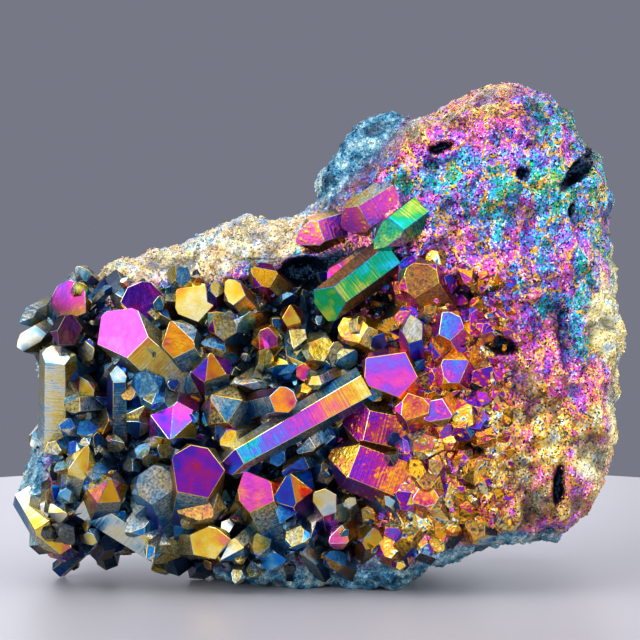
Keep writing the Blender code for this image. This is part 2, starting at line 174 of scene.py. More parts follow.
def add_lights():
    world = bpy.data.worlds.new("room")
    world.use_nodes = True
    background = world.node_tree.nodes["Background"]
    background.inputs["Color"].default_value = linear(ROOM_COLOUR)
    background.inputs["Strength"].default_value = ROOM_STRENGTH
    bpy.context.scene.world = world
    for name, (direction, distance, side, brightness, colour) in PANELS.items():
        light = bpy.data.lights.new(name, "AREA")
        light.shape = "SQUARE"
        light.size = side
        light.energy = brightness * math.pi * side * side
        light.color = linear(colour)[:3]
        panel = bpy.data.objects.new(name, light)
        panel.location = AIM + Vector(direction).normalized() * distance
        panel.rotation_euler = (AIM - panel.location).to_track_quat("-Z", "Y").to_euler()
        bpy.context.scene.collection.objects.link(panel)
        print(name, round(light.energy, 1), "W")


add_floor()
add_lights()
bpy.context.scene.view_settings.view_transform = "Standard"

# %% [markdown]
# The ground is a broken-off slab of crust. A slab like this can be lofted: the outline is drawn
# once, and rings of it are stacked from front to back, each drawn in a little more towards the
# two faces, so that the rim is rounded. A voxel remesh then gives the slab an even skin that can
# be moved point by point. That is quicker and closer to the real outline than sculpting.

# %% The slab
ROCK_FRONT = 16.0
ROCK_BACK = 27.0
RIM_ROUNDING = 15.0
RIM_POWER = 2.6
RING_DEPTHS = (-1.0, -0.97, -0.88, -0.7, -0.4, 0.0, 0.4, 0.7, 0.88, 0.97, 1.0)
RING_POINTS = 200
SKIN_STEP = 0.61
# The outline from the front, clockwise from the upper left, x and z in millimetres
OUTLINE = (
    (-57.7, 51.3), (-55.6, 55.6), (-53.0, 56.9), (-49.7, 59.1), (-44.1, 60.5), (-39.2, 63.0),
    (-33.5, 65.1), (-26.7, 67.1), (-22.6, 70.2), (-18.9, 72.5), (-14.8, 73.1), (-10.1, 71.6),
    (-2.1, 72.5), (0.8, 75.9), (0.8, 77.0), (-0.4, 79.2), (0.6, 82.1), (3.7, 85.4),
    (6.2, 89.3), (9.8, 91.5), (17.2, 94.0), (19.9, 92.8), (24.0, 94.0), (33.0, 97.3),
    (36.3, 98.3), (40.4, 98.7), (45.0, 96.3), (48.6, 95.7), (51.7, 93.4), (51.9, 88.9),
    (55.0, 86.2), (55.8, 81.3), (57.7, 73.9), (57.7, 67.5), (58.7, 57.5), (60.1, 54.8),
    (60.1, 48.4), (59.9, 37.8), (59.1, 30.6), (57.5, 25.5), (56.4, 19.7), (53.6, 14.0),
    (48.6, 10.9), (44.3, 8.6), (38.2, 9.8), (31.6, 7.4), (23.8, 3.6), (19.1, 0.2),
    (16.6, -1.6), (9.8, -2.4), (-0.4, -2.6), (-10.3, -2.4), (-15.2, -1.6), (-19.7, 0.6),
    (-23.0, 4.5), (-33.0, 5.1), (-41.0, 6.4), (-50.3, 5.0), (-53.2, 6.1), (-55.6, 8.4),
    (-57.0, 11.5), (-57.5, 14.2), (-58.6, 18.3), (-58.6, 20.7), (-57.5, 25.0), (-57.3, 28.1),
    (-56.2, 32.8), (-55.6, 37.6), (-55.6, 42.1), (-55.2, 43.7), (-56.8, 48.2),
)


def keep_evaluated_mesh(obj):
    """Replace the object's mesh by what its modifiers make of it."""
    bpy.context.view_layer.update()
    evaluated = obj.evaluated_get(bpy.context.evaluated_depsgraph_get())
    mesh = bpy.data.meshes.new_from_object(evaluated)
    obj.modifiers.clear()
    obj.data = mesh


def evenly_spaced(points, count):
    """The closed outline as points at equal steps along its length."""
    corners = [Vector(p) for p in points]
    sides = list(zip(corners, corners[1:] + corners[:1]))
    step = sum((b - a).length for a, b in sides) / count
    spaced = []
    along = 0.0
    for a, b in sides:
        length = (b - a).length
        while along < length:
            spaced.append(a.lerp(b, along / length))
            along += step
        along -= length
    return spaced[:count]


def moved_inward(ring, inset):
    """The ring shrunk by short steps along its normals, smoothed a little at each step."""
    steps = max(1, round(inset))
    for _ in range(steps if inset > 0 else 0):
        before = ring[-1:] + ring[:-1]
        after = ring[1:] + ring[:1]
        smooth = [(a + 2 * p + b) / 4 for a, p, b in zip(before, ring, after)]
        inward = [(b - a).normalized() for a, b in zip(before, after)]
        ring = [p + Vector((n.y, -n.x)) * (inset / steps) for p, n in zip(smooth, inward)]
    return ring


def make_slab():
    outline = evenly_spaced(OUTLINE, RING_POINTS)
    bm = bmesh.new()
    rings = []
    for depth in RING_DEPTHS:
        inset = RIM_ROUNDING * (1 - (1 - abs(depth) ** RIM_POWER) ** (1 / RIM_POWER))
        thick = ROCK_FRONT if depth < 0 else ROCK_BACK
        ring = moved_inward(outline, inset)
        rings.append([bm.verts.new((p.x * MM, depth * thick * MM, p.y * MM)) for p in ring])
    for front, back in zip(rings, rings[1:]):
        for i in range(RING_POINTS):
            j = (i + 1) % RING_POINTS
            bm.faces.new((front[i], front[j], back[j], back[i]))
    bm.faces.new(rings[0])
    bm.faces.new(rings[-1])
    bmesh.ops.triangulate(bm, faces=bm.faces[:])
    bmesh.ops.recalc_face_normals(bm, faces=bm.faces[:])
    mesh = bpy.data.meshes.new("ground")
    bm.to_mesh(mesh)
    bm.free()
    slab = bpy.data.objects.new("quartz_ground", mesh)
    bpy.context.scene.collection.objects.link(slab)
    remesh = slab.modifiers.new("even skin", "REMESH")
    remesh.mode = "VOXEL"
    remesh.voxel_size = SKIN_STEP * MM
    keep_evaluated_mesh(slab)
    print("slab:", len(slab.data.vertices), "points")
    return slab


ground = make_slab()

# %% [markdown]
# Real crust is rough at every size: swells as wide as a thumb, crags of some millimetres, and
# grain. Each is a noise of its own spacing, moved along the skin's normal. The right lobe adds
# steep ridges, where quartz flowed down in ribs. Sharp creases come from the absolute value of
# a noise, which has a kink where the noise passes zero. The places of the holes and cracks are
# a short list, because the eye finds those again in the photograph.

# %% Lumps, ridges and holes
RIGHT_LOBE_EXTRA = 9.0
LUMPS = 2.2
LUMP_SPACING = 15.0
CRAGS = 1.6
CRAG_SPACING = 6.0
GRAIN = 0.6
GRAIN_SPACING = 2.6
CREASES = 1.1
CREASE_SPACING = 2.2
FINE_GRAIN = 0.4
FINE_GRAIN_SPACING = 1.2
RIDGES = 2.6
RIDGE_SPACING = (5.0, 9.0, 13.0)
BACK_SWELL = 5.0
BACK_SWELL_SPACING = 32.0
# The pale nub at the top is set back behind a line that runs up to the right along the lobe
NUB_LINE_FROM = (3.0, 74.0)
NUB_LINE_TO = (19.9, 92.8)
NUB_SET_BACK = 5.0
# x, z, half length, half width and depth in millimetres, and the angle of the length in degrees.
# The wall of a hole runs between these shares of its half length and half width.
PIT_WALL = (1.3, 0.6)
PITS = (
    (38.8, 82.3, 1.0, 0.9, 4.0, 0),
    (50.2, 83.2, 5.4, 1.4, 8.0, 44),
    (48.6, 75.1, 0.8, 1.1, 3.0, 0),
    (23.6, 87.0, 2.2, 0.7, 3.0, 12),
    (34.7, 49.5, 3.0, 1.6, 4.0, -12),
    (26.9, 59.0, 4.0, 3.4, 5.0, 20),
    (29.0, 29.8, 2.6, 2.4, 4.0, 0),
    (46.1, 22.5, 3.8, 0.9, 4.0, 85),
    (13.8, 56.3, 3.4, 3.2, 6.0, 0),
    (-3.0, 62.5, 4.2, 3.0, 6.0, 0),
)
# Where the front's relief fades out and the back's swell fades in, as y in millimetres
FRONT_FADE = (2.0, -8.0)
BACK_FADE = (4.0, 16.0)
# The right lobe begins between these x
LOBE_FADE = (2.0, 24.0)
RIDGE_CREST = 0.5
CREASE_CREST = 0.25
# How the nub begins beyond its line, and above this z
NUB_BORDER = (-2.0, 3.0)
NUB_FOOT = (70.0, 78.0)
# How dark the painted shade of low crags, narrow creases and holes is, and where each begins
CRAG_SHADE = 0.6
LOW_CRAG = (0.0, -0.5)
CREASE_SHADE = 0.3
NARROW_CREASE = 0.12
PIT_SHADE = 1.2
SHADED_PIT = (0.5, 2.0)


def smooth_step(low, high, value):
    t = min(max((value - low) / (high - low), 0.0), 1.0)
    return t * t * (3 - 2 * t)


def behind_nub_line(x, z):
    """How far in millimetres a place is to the upper left of the line below the nub."""
    along = (Vector(NUB_LINE_TO) - Vector(NUB_LINE_FROM)).normalized()
    away = Vector((x, z)) - Vector(NUB_LINE_FROM)
    return along.x * away.y - along.y * away.x


def on_nub(x, z):
    return smooth_step(*NUB_BORDER, behind_nub_line(x, z)) * smooth_step(*NUB_FOOT, z)


def on_right_lobe(x, z):
    return smooth_step(*LOBE_FADE, x) * (1 - on_nub(x, z))


def pit_depth(x, z):
    depth = 0.0
    for pit_x, pit_z, half_length, half_width, deep, angle in PITS:
        turned = Matrix.Rotation(math.radians(-angle), 2) @ Vector((x - pit_x, z - pit_z))
        away = math.hypot(turned.x / half_length, turned.y / half_width)
        depth = max(depth, deep * smooth_step(*PIT_WALL, away))
    return depth


def roughen(mesh):
    """Move each point of the skin, and note how much painted shade it gets in a valley or a hole."""
    normals = [v.normal.copy() for v in mesh.vertices]
    valley_painted_shade = []
    for vertex, normal in zip(mesh.vertices, normals):
        place = vertex.co / MM
        front = smooth_step(*FRONT_FADE, place.y)
        nub = on_nub(place.x, place.z)
        right = on_right_lobe(place.x, place.z)
        crag = noise.noise(place / CRAG_SPACING)
        grain = noise.noise(place / GRAIN_SPACING)
        crease = CREASE_CREST - abs(noise.noise(place / CREASE_SPACING))
        rise = noise.noise(place / LUMP_SPACING) * LUMPS + crag * CRAGS + grain * GRAIN
        rise += crease * CREASES + noise.noise(place / FINE_GRAIN_SPACING) * FINE_GRAIN
        stretched = Vector(p / spacing for p, spacing in zip(place, RIDGE_SPACING))
        ridge = RIDGE_CREST - abs(noise.noise(stretched))
        rise += RIDGES * ridge * right * front
        swell = noise.noise(place / BACK_SWELL_SPACING) * BACK_SWELL
        toward_viewer = RIGHT_LOBE_EXTRA * right - NUB_SET_BACK * nub
        pit = pit_depth(place.x, place.z) * front
        place.y -= toward_viewer * smooth_step(0.0, -ROCK_FRONT, place.y)
        place.y += swell * smooth_step(*BACK_FADE, place.y)
        place += normal * rise
        place.y += pit
        place.z = max(place.z, 0.0)
        vertex.co = place * MM
        # Painted shade: low crags, narrow creases and holes are darkened in the colour
        low = CRAG_SHADE * smooth_step(*LOW_CRAG, crag + grain / 2)
        low += CREASE_SHADE * smooth_step(NARROW_CREASE, CREASE_CREST, crease)
        valley_painted_shade.append(min(low + PIT_SHADE * smooth_step(*SHADED_PIT, pit), 1.0))
    mesh.update()
    return valley_painted_shade


valley_painted_shade = roughen(ground.data)
skin = BVHTree.FromObject(ground, bpy.context.evaluated_depsgraph_get())
print("ground:", [round(d * 1000, 1) for d in ground.dimensions], "mm")

# %% [markdown]
# The colour of the film depends on its thickness alone. As it grows, the reflected colour runs
# through bronze, gold, purple, blue and silver, then yellow, pink, violet, teal and green. Every
# crystal below names its colours by these stages, and a number from 0 to 1 stands for the
# thickness, so that one face can run from one stage into the next as the real film does. Where
# the vapour hardly reached, the film is dull over smoky quartz, and the stage is called dark.
# Dark stages also serve as painted shade: they darken the roots of the points and the small
# points between the crystals of the hollow.

# %% The stages of the film
FILM = {
    "bronze": (0.02, "#6E5420"),
    "old gold": (0.07, "#B58A22"),
    "gold": (0.12, "#F2B31C"),
    "amber": (0.18, "#E88C1C"),
    "rose": (0.23, "#B82462"),
    "purple": (0.28, "#8A20B4"),
    "indigo": (0.33, "#4428BE"),
    "royal": (0.38, "#1A56D6"),
    "azure": (0.43, "#2694DE"),
    "sky": (0.47, "#88CAE8"),
    "silver": (0.51, "#F0F2E6"),
    "cream": (0.55, "#F8E68C"),
    "yellow": (0.59, "#F2CC34"),
    "orange": (0.63, "#F09640"),
    "pink": (0.67, "#EC5CA0"),
    "magenta": (0.71, "#DC44C4"),
    "violet": (0.75, "#9A50E0"),
    "periwinkle": (0.79, "#5E74F4"),
    "cyan": (0.83, "#26C4EC"),
    "teal": (0.87, "#0CAC94"),
    "green": (0.91, "#18A24C"),
    "lime": (0.95, "#AAC436"),
    "blush": (1.00, "#EA86AA"),
}
# How dark a dark stage is, as dull film and as painted shade
DARK_STAGE = 0.62
# Past this thickness the colours start again, from blue through silver to yellow
SECOND_ORDER = 0.4


def stage_of(name):
    """The film's thickness for a stage, and how dull it is; a dark stage is dull film and painted shade."""
    return FILM[name.removeprefix("dark ")][0], DARK_STAGE if name.startswith("dark ") else 0.0


print("film stages:", len(FILM))

# %% [markdown]
# A quartz crystal is a six-sided prism that ends in six sloping faces. Nature cuts no two alike:
# one sloping face usually outgrows the others. Starting from a block and cutting it by one
# plane for each face copies that, and it keeps each face truly flat, which a stretched cone
# would not. A narrow bevel then gives the edges the thin line of light that real ones have.

# %% One quartz point
EDGE_WIDTH = 0.07
TAPER = 0.03
SIDES = 6
TABLET = 0.88
# A face whose normal rises more is an end face, and one whose normal rises less is a side
END_FACE = 0.25
SIDE_FACE = 0.2


def cut_by(bm, point, normal):
    cut = bmesh.ops.bisect_plane(
        bm, geom=bm.verts[:] + bm.edges[:] + bm.faces[:], dist=1e-7,
        plane_co=point, plane_no=normal, clear_outer=True,
    )
    rim = [e for e in cut["geom_cut"] if isinstance(e, bmesh.types.BMEdge)]
    if len(rim) > 2:
        bmesh.ops.edgeloop_fill(bm, edges=rim)


def cut_point(length, width, point, girths, shares):
    """A quartz point in millimetres that stands on z = 0, as a bmesh."""
    bm = bmesh.new()
    wide, tall = width * 3, length * 1.5
    block = Matrix.Translation((0, 0, tall / 2)) @ Matrix.Diagonal((wide, wide, tall, 1))
    bmesh.ops.create_cube(bm, size=1, matrix=block)
    for i in range(SIDES):
        turned = math.radians(60 * i)
        outward = Vector((math.cos(turned), math.sin(turned), TAPER))
        cut_by(bm, outward * width / 2 * girths[i], outward)
    tilt = math.atan2(0.5, point)
    for i in range(SIDES):
        turned = math.radians(60 * i)
        flat = math.cos(tilt)
        outward = Vector((flat * math.cos(turned), flat * math.sin(turned), math.sin(tilt)))
        cut_by(bm, Vector((0, 0, length + width * point * (shares[i] - 1))), outward)
    bm.normal_update()
    return bm


def bevel_edges(bm, width):
    """Break the edges, and mark the narrow new faces."""
    made = bmesh.ops.bevel(bm, geom=bm.edges[:], offset=width, segments=1, affect="EDGES")
    for face in made["faces"]:
        face.material_index = 1
    bm.normal_update()


# %% [markdown]
# All points of one kind become one mesh, with six numbers stored on it for the material: the
# film's thickness and its dullness, partly painted shade, at each corner, the distance along the
# crystal for its growth lines, whether a face is a side, which has such lines, how rough the
# crystal is, and how deep it sits in the hollow, which the material paints as shade.

# %% Gathering crystals in one mesh
# Points get painted shade up to this height in millimetres over the ground, left of this range of x
SHADED_HEIGHT = (0.5, 5.5)
HOLLOW_END = (16.0, 4.0)


def sunk_shade_at(place):
    """How much painted shade a place gets from lying deep between the crystals of the hollow, from 0 to 1.
    """
    ground_place, normal, _, away = skin.find_nearest(place)
    if (place - ground_place).dot(normal) < 0:
        away = 0.0
    return (1 - smooth_step(*SHADED_HEIGHT, away / MM)) * smooth_step(*HOLLOW_END, place.x / MM)


CRYSTAL_NUMBERS = ("film", "dull_and_shade", "along", "lined", "rough", "sunk_painted_shade")


class Thicket:
    """Collects crystals and makes them one object."""

    def __init__(self, name):
        self.name = name
        self.places = []
        self.faces = []
        self.numbers = {name: [] for name in CRYSTAL_NUMBERS}

    def add(self, bm, matrix, coat_of, rough=0.0, shade=1.0):
        """Add a crystal; coat_of gives the film and the dullness and painted shade of a face at a height,
        and shade scales the hollow's painted shade.
        """
        start = len(self.places)
        bm.verts.index_update()
        placed = [matrix @ v.co for v in bm.verts]
        # Painted shade of the hollow, weaker on points that lie open to the light
        sunk_painted_shade = [sunk_shade_at(p) * shade for p in placed]
        self.places.extend((p.x, p.y, max(p.z, 0.0)) for p in placed)
        for face in bm.faces:
            self.faces.append([start + v.index for v in face.verts])
            lined = 1.0 if abs(face.normal.z) < SIDE_FACE else 0.0
            for vertex in face.verts:
                thickness, dull_and_shade = coat_of(face, vertex.co.z)
                numbers = (thickness, dull_and_shade, vertex.co.z, lined, rough, sunk_painted_shade[vertex.index])
                for values, number in zip(self.numbers.values(), numbers):
                    values.append(number)

    def finish(self):
        mesh = bpy.data.meshes.new(self.name)
        mesh.from_pydata(self.places, [], self.faces)
        for name, values in self.numbers.items():
            mesh.attributes.new(name, "FLOAT", "CORNER").data.foreach_set("value", values)
        mesh.update()
        obj = bpy.data.objects.new(self.name, mesh)
        bpy.context.scene.collection.objects.link(obj)
        print(self.name, "has", sum(len(f) - 2 for f in self.faces), "triangles")
        return obj


def standing(root, tip, roll):
    """The matrix that stands a crystal on its root, points it at its tip and rolls it."""
    along = (tip - root).normalized()
    viewer = Vector((0, -1, 0))
    side = (viewer - along * viewer.dot(along)).normalized()
    side = Matrix.Rotation(math.radians(roll), 3, along) @ side
    turn = Matrix((side, along.cross(side), along)).transposed().to_4x4()
    return Matrix.Translation(root) @ turn @ Matrix.Scale(MM, 4)


# Stages of the bevels: the film's own colour at the edges; the bright ones are partly a painted highlight
# along them
MIXED_EDGES = ("yellow", "cream", "sky", "silver", "dark cream", "dark azure")
GOLD_EDGES = ("yellow", "gold", "yellow", "amber", "dark gold")
# How far a face's film and dullness may lie from its stage, and how much the film changes along it
FILM_SHIFT = (-0.03, 0.03)
DULL_SHIFT = (-0.1, 0.2)
TIP_FADE = 0.03
FLANK_FADE = 0.05
FLANK_MIDDLE = 0.7


def make_coat(tip, flank, body, root, heights, rng, edges=MIXED_EDGES):
    """The coat of a crystal from its stages: the main end face, every second face, and its length."""
    tip, flank, body, root = (Vector(stage_of(name)) for name in (tip, flank, body, root))
    low, high = heights
    shifts = [Vector((rng.uniform(*FILM_SHIFT), rng.uniform(*DULL_SHIFT))) for _ in range(SIDES)]
    edge = Vector(stage_of(rng.choice(edges)))

    def coat_of(face, height):
        # Bevel faces take the edge's stage: film colour, and with bright stages a painted highlight line
        if face.material_index == 1:
            return edge
        number = round(math.degrees(math.atan2(face.normal.y, face.normal.x)) / 60) % SIDES
        up = (height - low) / (high - low)
        if face.normal.z > END_FACE and number == 0:
            return tip + Vector((TIP_FADE * (up - 1), 0))
        if number % 2:
            return flank + shifts[number] + Vector((FLANK_FADE * (up - FLANK_MIDDLE), 0))
        if face.normal.z > END_FACE:
            return body + shifts[number]
        # Darker toward the root, whose stage is mostly a dark one: dull film and painted shade
        return root.lerp(body, max(up, -1.0)) + shifts[number] * 0.5

    return coat_of


# %% [markdown]
# The large points are placed one by one, from the photograph: these are what one
# recognises the stone by. Each has its tip and root on the front, how far both stand out from
# the ground, its width, the length and roll of its end, and the film on its main end face, its
# flanks, and its length near the tip and near the root.

# %% The large points
# name: x and z of the tip, x and z of the root, how far both stand out, width in millimetres,
# length of the end as a share of the width, roll in degrees, stages of the film
POINTS = {
    "long bar": (-18.6, 23.9, 9.4, 39.8, 10, 8, 6.8, 0.9, 0, "indigo, dark silver, cyan, orange"),
    "bar under long bar": (
        -3.5, 27, 5.6, 33, 5, 4, 4.4, 0.7, 0, "dark sky, dark gold, dark cream, dark azure",
    ),
    "wedge at the bar's tip": (
        -18.7, 28.9, -12.4, 30.6, 9, 6, 4.8, 0.6, 0, "yellow, orange, cream, dark cream",
    ),
    "big pink hexagon": (-39, 51, -23.6, 37, 9, 2, 10.4, 0.5, 0, "magenta, dark cream, yellow, dark silver"),
    "pale upright bar": (-50.9, 46.6, -50.7, 27.6, 5.5, 4.5, 7.6, 0.3, -6, "silver, cream, silver, cream"),
    "green point": (1.6, 55.4, 14.4, 65.1, 8.5, 3.5, 7.4, 0.5, 0, "green, dark gold, lime, teal"),
    "teal point behind": (
        12.1, 67.3, 20.7, 73.7, 6.5, 1, 6.4, 0.8, 30, "dark green, dark lime, teal, green",
    ),
    "striated violet": (5.4, 70.4, 15.6, 76.4, 4, 0.5, 8, 0.6, 0, "pink, yellow, violet, magenta"),
    "brown bar": (2.3, 59.5, 10.5, 64.7, 7, 2.5, 5.6, 0.7, 25, "rose, dark gold, rose, dark gold"),
    "pink ledge": (-3.5, 68.4, 5.6, 71, 4, 0.5, 7, 0.6, 10, "orange, gold, pink, magenta"),
    "violet fan": (-28.7, 29.3, -27.7, 35.9, 11, 2, 9.6, 0.6, 30, "purple, violet, cream, dark silver"),
    "big purple face": (
        -23, 24.6, -24.6, 15.4, 10.5, 3, 10.2, 0.6, 0, "purple, dark gold, dark cream, dark azure",
    ),
    "purple face base": (
        -22, 14.4, -24.5, 19.4, 9, 1, 9, 0.6, 15, "dark gold, dark bronze, dark cream, dark azure",
    ),
    "grey blue neighbour": (
        -33, 22.4, -28.2, 12.6, 9, 1, 8.8, 0.6, 20, "dark silver, dark azure, dark silver, dark azure",
    ),
    "gold at the foot": (-20.3, 9, -28, 9.6, 8, 1, 6.8, 0.8, 0, "yellow, old gold, dark cream, dark cream"),
    "small gold at the foot": (
        -15.8, 5.9, -14.6, 10, 5, -2, 4.2, 0.8, 20, "yellow, dark gold, yellow, dark azure",
    ),
    "white foot": (-12.5, 2.7, -11.6, 7, 4, -2, 4, 0.9, 0, "silver, cream, yellow, dark sky"),
    "left gold point": (
        -45.6, 26.5, -48.6, 17, 8.5, 1.5, 6.2, 1, 0, "yellow, cream, dark cream, dark azure",
    ),
    "left olive point": (
        -40.4, 21.3, -42.6, 15.6, 10, 1.5, 8, 0.6, 30, "gold, orange, dark cream, dark azure",
    ),
    "lower left diagonal": (-27.9, 6.4, -45.6, 18.2, 7, 3.5, 8.2, 0.7, 25, "dark cream, sky, cream, silver"),
    "left foot": (-49.6, 7.8, -55.6, 18.8, 4.5, -0.5, 8.2, 0.8, 0, "yellow, dark silver, yellow, cream"),
    "grey beside left foot": (
        -47.8, 9.6, -52.6, 18.4, 6, 0, 4.8, 0.7, 20, "dark silver, dark sky, dark silver, dark sky",
    ),
    "white point": (1.4, 17.6, 2.8, 10.8, 9, 1, 5.2, 0.9, 10, "silver, purple, purple, dark royal"),
    "cream block": (5.9, 17.4, 7.6, 13, 6, 0.5, 3.6, 0.4, 20, "cream, yellow, dark cream, dark azure"),
    "pink and yellow point": (
        -13.6, 21.4, -6.6, 8.4, 9, 2, 8.2, 0.8, 0, "pink, yellow, dark cream, dark azure",
    ),
    "blue and orange point": (-5.3, 22.4, -3.4, 14.4, 9, 0, 9, 0.6, 30, "amber, royal, rose, dark royal"),
    "upper purple prism": (5.8, 33, 17, 30.6, 6.5, 1.5, 9.6, 0.4, 0, "rose, dark gold, purple, rose"),
    "lower purple prism": (2.8, 26.2, 16.8, 20.8, 6, 1, 10, 0.5, 10, "yellow, dark rose, purple, rose"),
    "magenta hexagon": (13.5, 43.1, 19, 38.6, 6.5, -1, 9.4, 0.5, 0, "magenta, gold, pink, yellow"),
    "gold over magenta": (5, 51.6, 16, 46, 7, 1.5, 6.4, 0.7, 0, "yellow, gold, yellow, dark cream"),
    "blue violet bar": (18.1, 52, 19.3, 42.6, 7, 1, 5.4, 0.8, 10, "cream, violet, royal, purple"),
    "orange point": (
        -28.3, 50.7, -22.8, 41.8, 9, 2, 7.6, 0.7, 0, "amber, dark sky, dark silver, dark azure",
    ),
    "purple and orange point": (
        -20.9, 46, -20.4, 38.6, 9, 1, 7.6, 0.7, 20, "amber, purple, dark cream, dark azure",
    ),
    "yellow block": (-0.6, 47.8, 2.8, 43.4, 7.5, 1, 6.6, 0.4, 30, "yellow, dark cream, yellow, dark cream"),
    "orange hexagon": (
        -6.4, 36.9, -13.6, 35.2, 11.5, 5, 5.4, 0.4, 0, "amber, dark rose, dark sky, dark azure",
    ),
    "cream bar": (-1.4, 40, 4.6, 42.8, 8.5, 5.5, 3.4, 0.6, 0, "cream, dark cream, silver, cream"),
    "maroon bar": (-3.6, 41.4, 1.6, 45.4, 7.5, 4, 4.2, 0.6, 20, "rose, gold, rose, dark gold"),
    "blue upright bar": (
        -39, 43, -38.8, 28.6, 7.5, 3.5, 4.6, 0.7, 10, "sky, dark royal, dark azure, dark sky",
    ),
    "upper left corner": (-48.8, 56.8, -45.6, 51, 7.5, 1, 7, 0.5, 0, "orange, gold, pink, dark azure"),
    "maroon cube": (-49.3, 50.5, -45.4, 48.4, 7.5, 0.5, 6.2, 0.3, 20, "rose, dark gold, rose, dark gold"),
    "pale little point": (
        -45.8, 40.4, -44, 36.2, 7.5, 0, 4.8, 0.9, 0, "cream, yellow, dark cream, dark azure",
    ),
    "purple and gold top": (
        -34.7, 56.4, -28.8, 53.4, 6.5, 0.5, 7.6, 0.6, 10, "purple, yellow, rose, dark gold",
    ),
    "pale gold face": (-25, 56.8, -20, 53, 6.5, 0.5, 7.6, 0.5, 0, "cream, dark cream, yellow, dark cream"),
    "ochre bar": (-17.6, 59.3, -9.4, 49.9, 8.5, 2.5, 5.4, 0.8, 0, "yellow, dark gold, old gold, dark gold"),
    "ochre bar's twin": (-12, 62, -5.4, 55.6, 6, 0.5, 6.2, 0.6, 25, "gold, rose, gold, dark gold"),
    "pink and gold point": (-10.7, 49.9, -8.4, 45.6, 8, 0.5, 5.6, 0.8, 0, "pink, yellow, gold, dark gold"),
    "red and gold upright": (
        -5.5, 54.6, -4.4, 47.6, 7.5, 1.5, 4.8, 0.8, 10, "yellow, rose, amber, dark gold",
    ),
    "blunt grey prism": (
        -20.9, 37.6, -13.6, 31.2, 8.5, 2, 9.6, 0.5, 20, "dark sky, dark cream, dark silver, dark azure",
    ),
    "dark patterned point": (
        -18.7, 53, -16, 47.4, 6.5, 0.5, 7, 0.6, 15, "dark cream, rose, dark azure, dark azure",
    ),
    "dark prism": (
        -33.6, 41.6, -30.8, 32.4, 7.5, 1, 6.8, 0.6, 0, "dark sky, dark azure, dark silver, dark azure",
    ),
    "pink block at the foot": (2.6, 9.6, 7.4, 12.6, 5.5, 1.5, 5.4, 0.5, 0, "pink, orange, pink, orange"),
    "gold block at the foot": (10.7, 10.9, 9.6, 6, 4.5, -1, 5.6, 0.6, 20, "yellow, amber, gold, dark gold"),
    "olive facets": (18.6, 62.4, 23, 55.4, 5, -1, 8.4, 0.5, 0, "dark gold, rose, dark gold, dark gold"),
    "violet by the pit": (24.6, 52.6, 28.6, 45.8, 4, -1.5, 6.8, 0.5, 15, "violet, gold, magenta, pink"),
    "rose by the flank": (22, 33.6, 28, 38.4, 4, -1.5, 6.4, 0.5, 0, "magenta, dark gold, rose, gold"),
    "gold by the flank": (19.6, 17.2, 26.4, 20.6, 3.5, -1.5, 6.4, 0.5, 25, "amber, yellow, rose, gold"),
    "striated orange block": (18.4, 37.4, 20.6, 30.6, 4.5, -1, 7.6, 0.4, 0, "amber, rose, amber, rose"),
    "violet patch": (24.6, 43.8, 29, 40.4, 3.5, -1.5, 8, 0.4, 20, "violet, gold, magenta, pink"),
}
# Points whose end is one large face, and points whose end faces are alike
ONE_FACE = {
    "big pink hexagon", "big purple face", "purple and gold top", "orange hexagon", "pale gold face",
    "white point", "maroon cube", "magenta hexagon", "green point", "gold at the foot",
    "upper left corner",
}
EVEN_FACES = {
    "violet fan", "left olive point", "blue and orange point", "purple and orange point",
    "blunt grey prism",
}
# Points whose faces are veined and crumpled, as those of the slope are
ROUGH_POINTS = {
    "upper purple prism", "lower purple prism", "striated orange block", "violet patch",
    "gold by the flank", "rose by the flank", "violet by the pit", "olive facets", "striated violet",
    "pink ledge", "gold over magenta",
}
# Points that lie open to the light over their whole length
OPEN_POINTS = {"pale upright bar", "long bar", "left foot", "lower left diagonal", "white foot"}
END_SHARES = {"one": (1.7, 2.3), "even": (0.98, 1.12), "other": (1.15, 1.6)}
GIRTHS = (0.92, 1.06)
ROOT_SINK = 4.0
ROUGHER = 0.45
OPEN_SHADE = 0.2
# The body has its tip's colour from this share of the end's length below the tip
COLOUR_TOP = 0.6
# The places are in millimetres as they measure this far before the stone's middle, where the points are
POINTS_DEPTH = 15 * MM
FRONT_SCALE = DISTANCE / (DISTANCE - POINTS_DEPTH)


def on_front(x, z):
    """The place on the ground seen at x, z in millimetres, the normal there and the way to the eye."""
    across = Vector((x * MM - AIM.x, 0, 0))
    up = Vector((0, math.sin(LIFT), math.cos(LIFT))) * (z * MM - AIM.z)
    sight = (AIM + (across + up) * FRONT_SCALE - EYE).normalized()
    place, normal, _, _ = skin.ray_cast(EYE, sight)
    if place is None:
        place, normal, _, _ = skin.find_nearest(Vector((x * MM, 0, z * MM)))
    return place, normal, -sight


def grow_large_points():
    thicket = Thicket("large_quartz_points")
    for name, (tip_x, tip_z, root_x, root_z, tip_out, root_out, *size, roll, stages) in POINTS.items():
        width, point = size
        rng = random.Random(name)
        tip_at, _, to_eye = on_front(tip_x, tip_z)
        tip_at += to_eye * tip_out * MM
        root_at, _, to_eye = on_front(root_x, root_z)
        root_at += to_eye * (root_out - ROOT_SINK) * MM
        kind = "one" if name in ONE_FACE else "even" if name in EVEN_FACES else "other"
        shares = [1.0] + [rng.uniform(*END_SHARES[kind]) for _ in range(SIDES - 1)]
        girths = [TABLET] + [rng.uniform(*GIRTHS) for _ in range(SIDES - 1)]
        length = (tip_at - root_at).length / MM
        bm = cut_point(length, width, point, girths, shares)
        bevel_edges(bm, EDGE_WIDTH)
        heights = (ROOT_SINK + 1, length - COLOUR_TOP * width * point)
        rough = ROUGHER if name in ROUGH_POINTS else 0.0
        shade = OPEN_SHADE if name in OPEN_POINTS else 1.0
        coat_of = make_coat(*stages.split(", "), heights, rng)
        thicket.add(bm, standing(root_at, tip_at, roll), coat_of, rough, shade)
        bm.free()
    return thicket.finish()


large_points = grow_large_points()
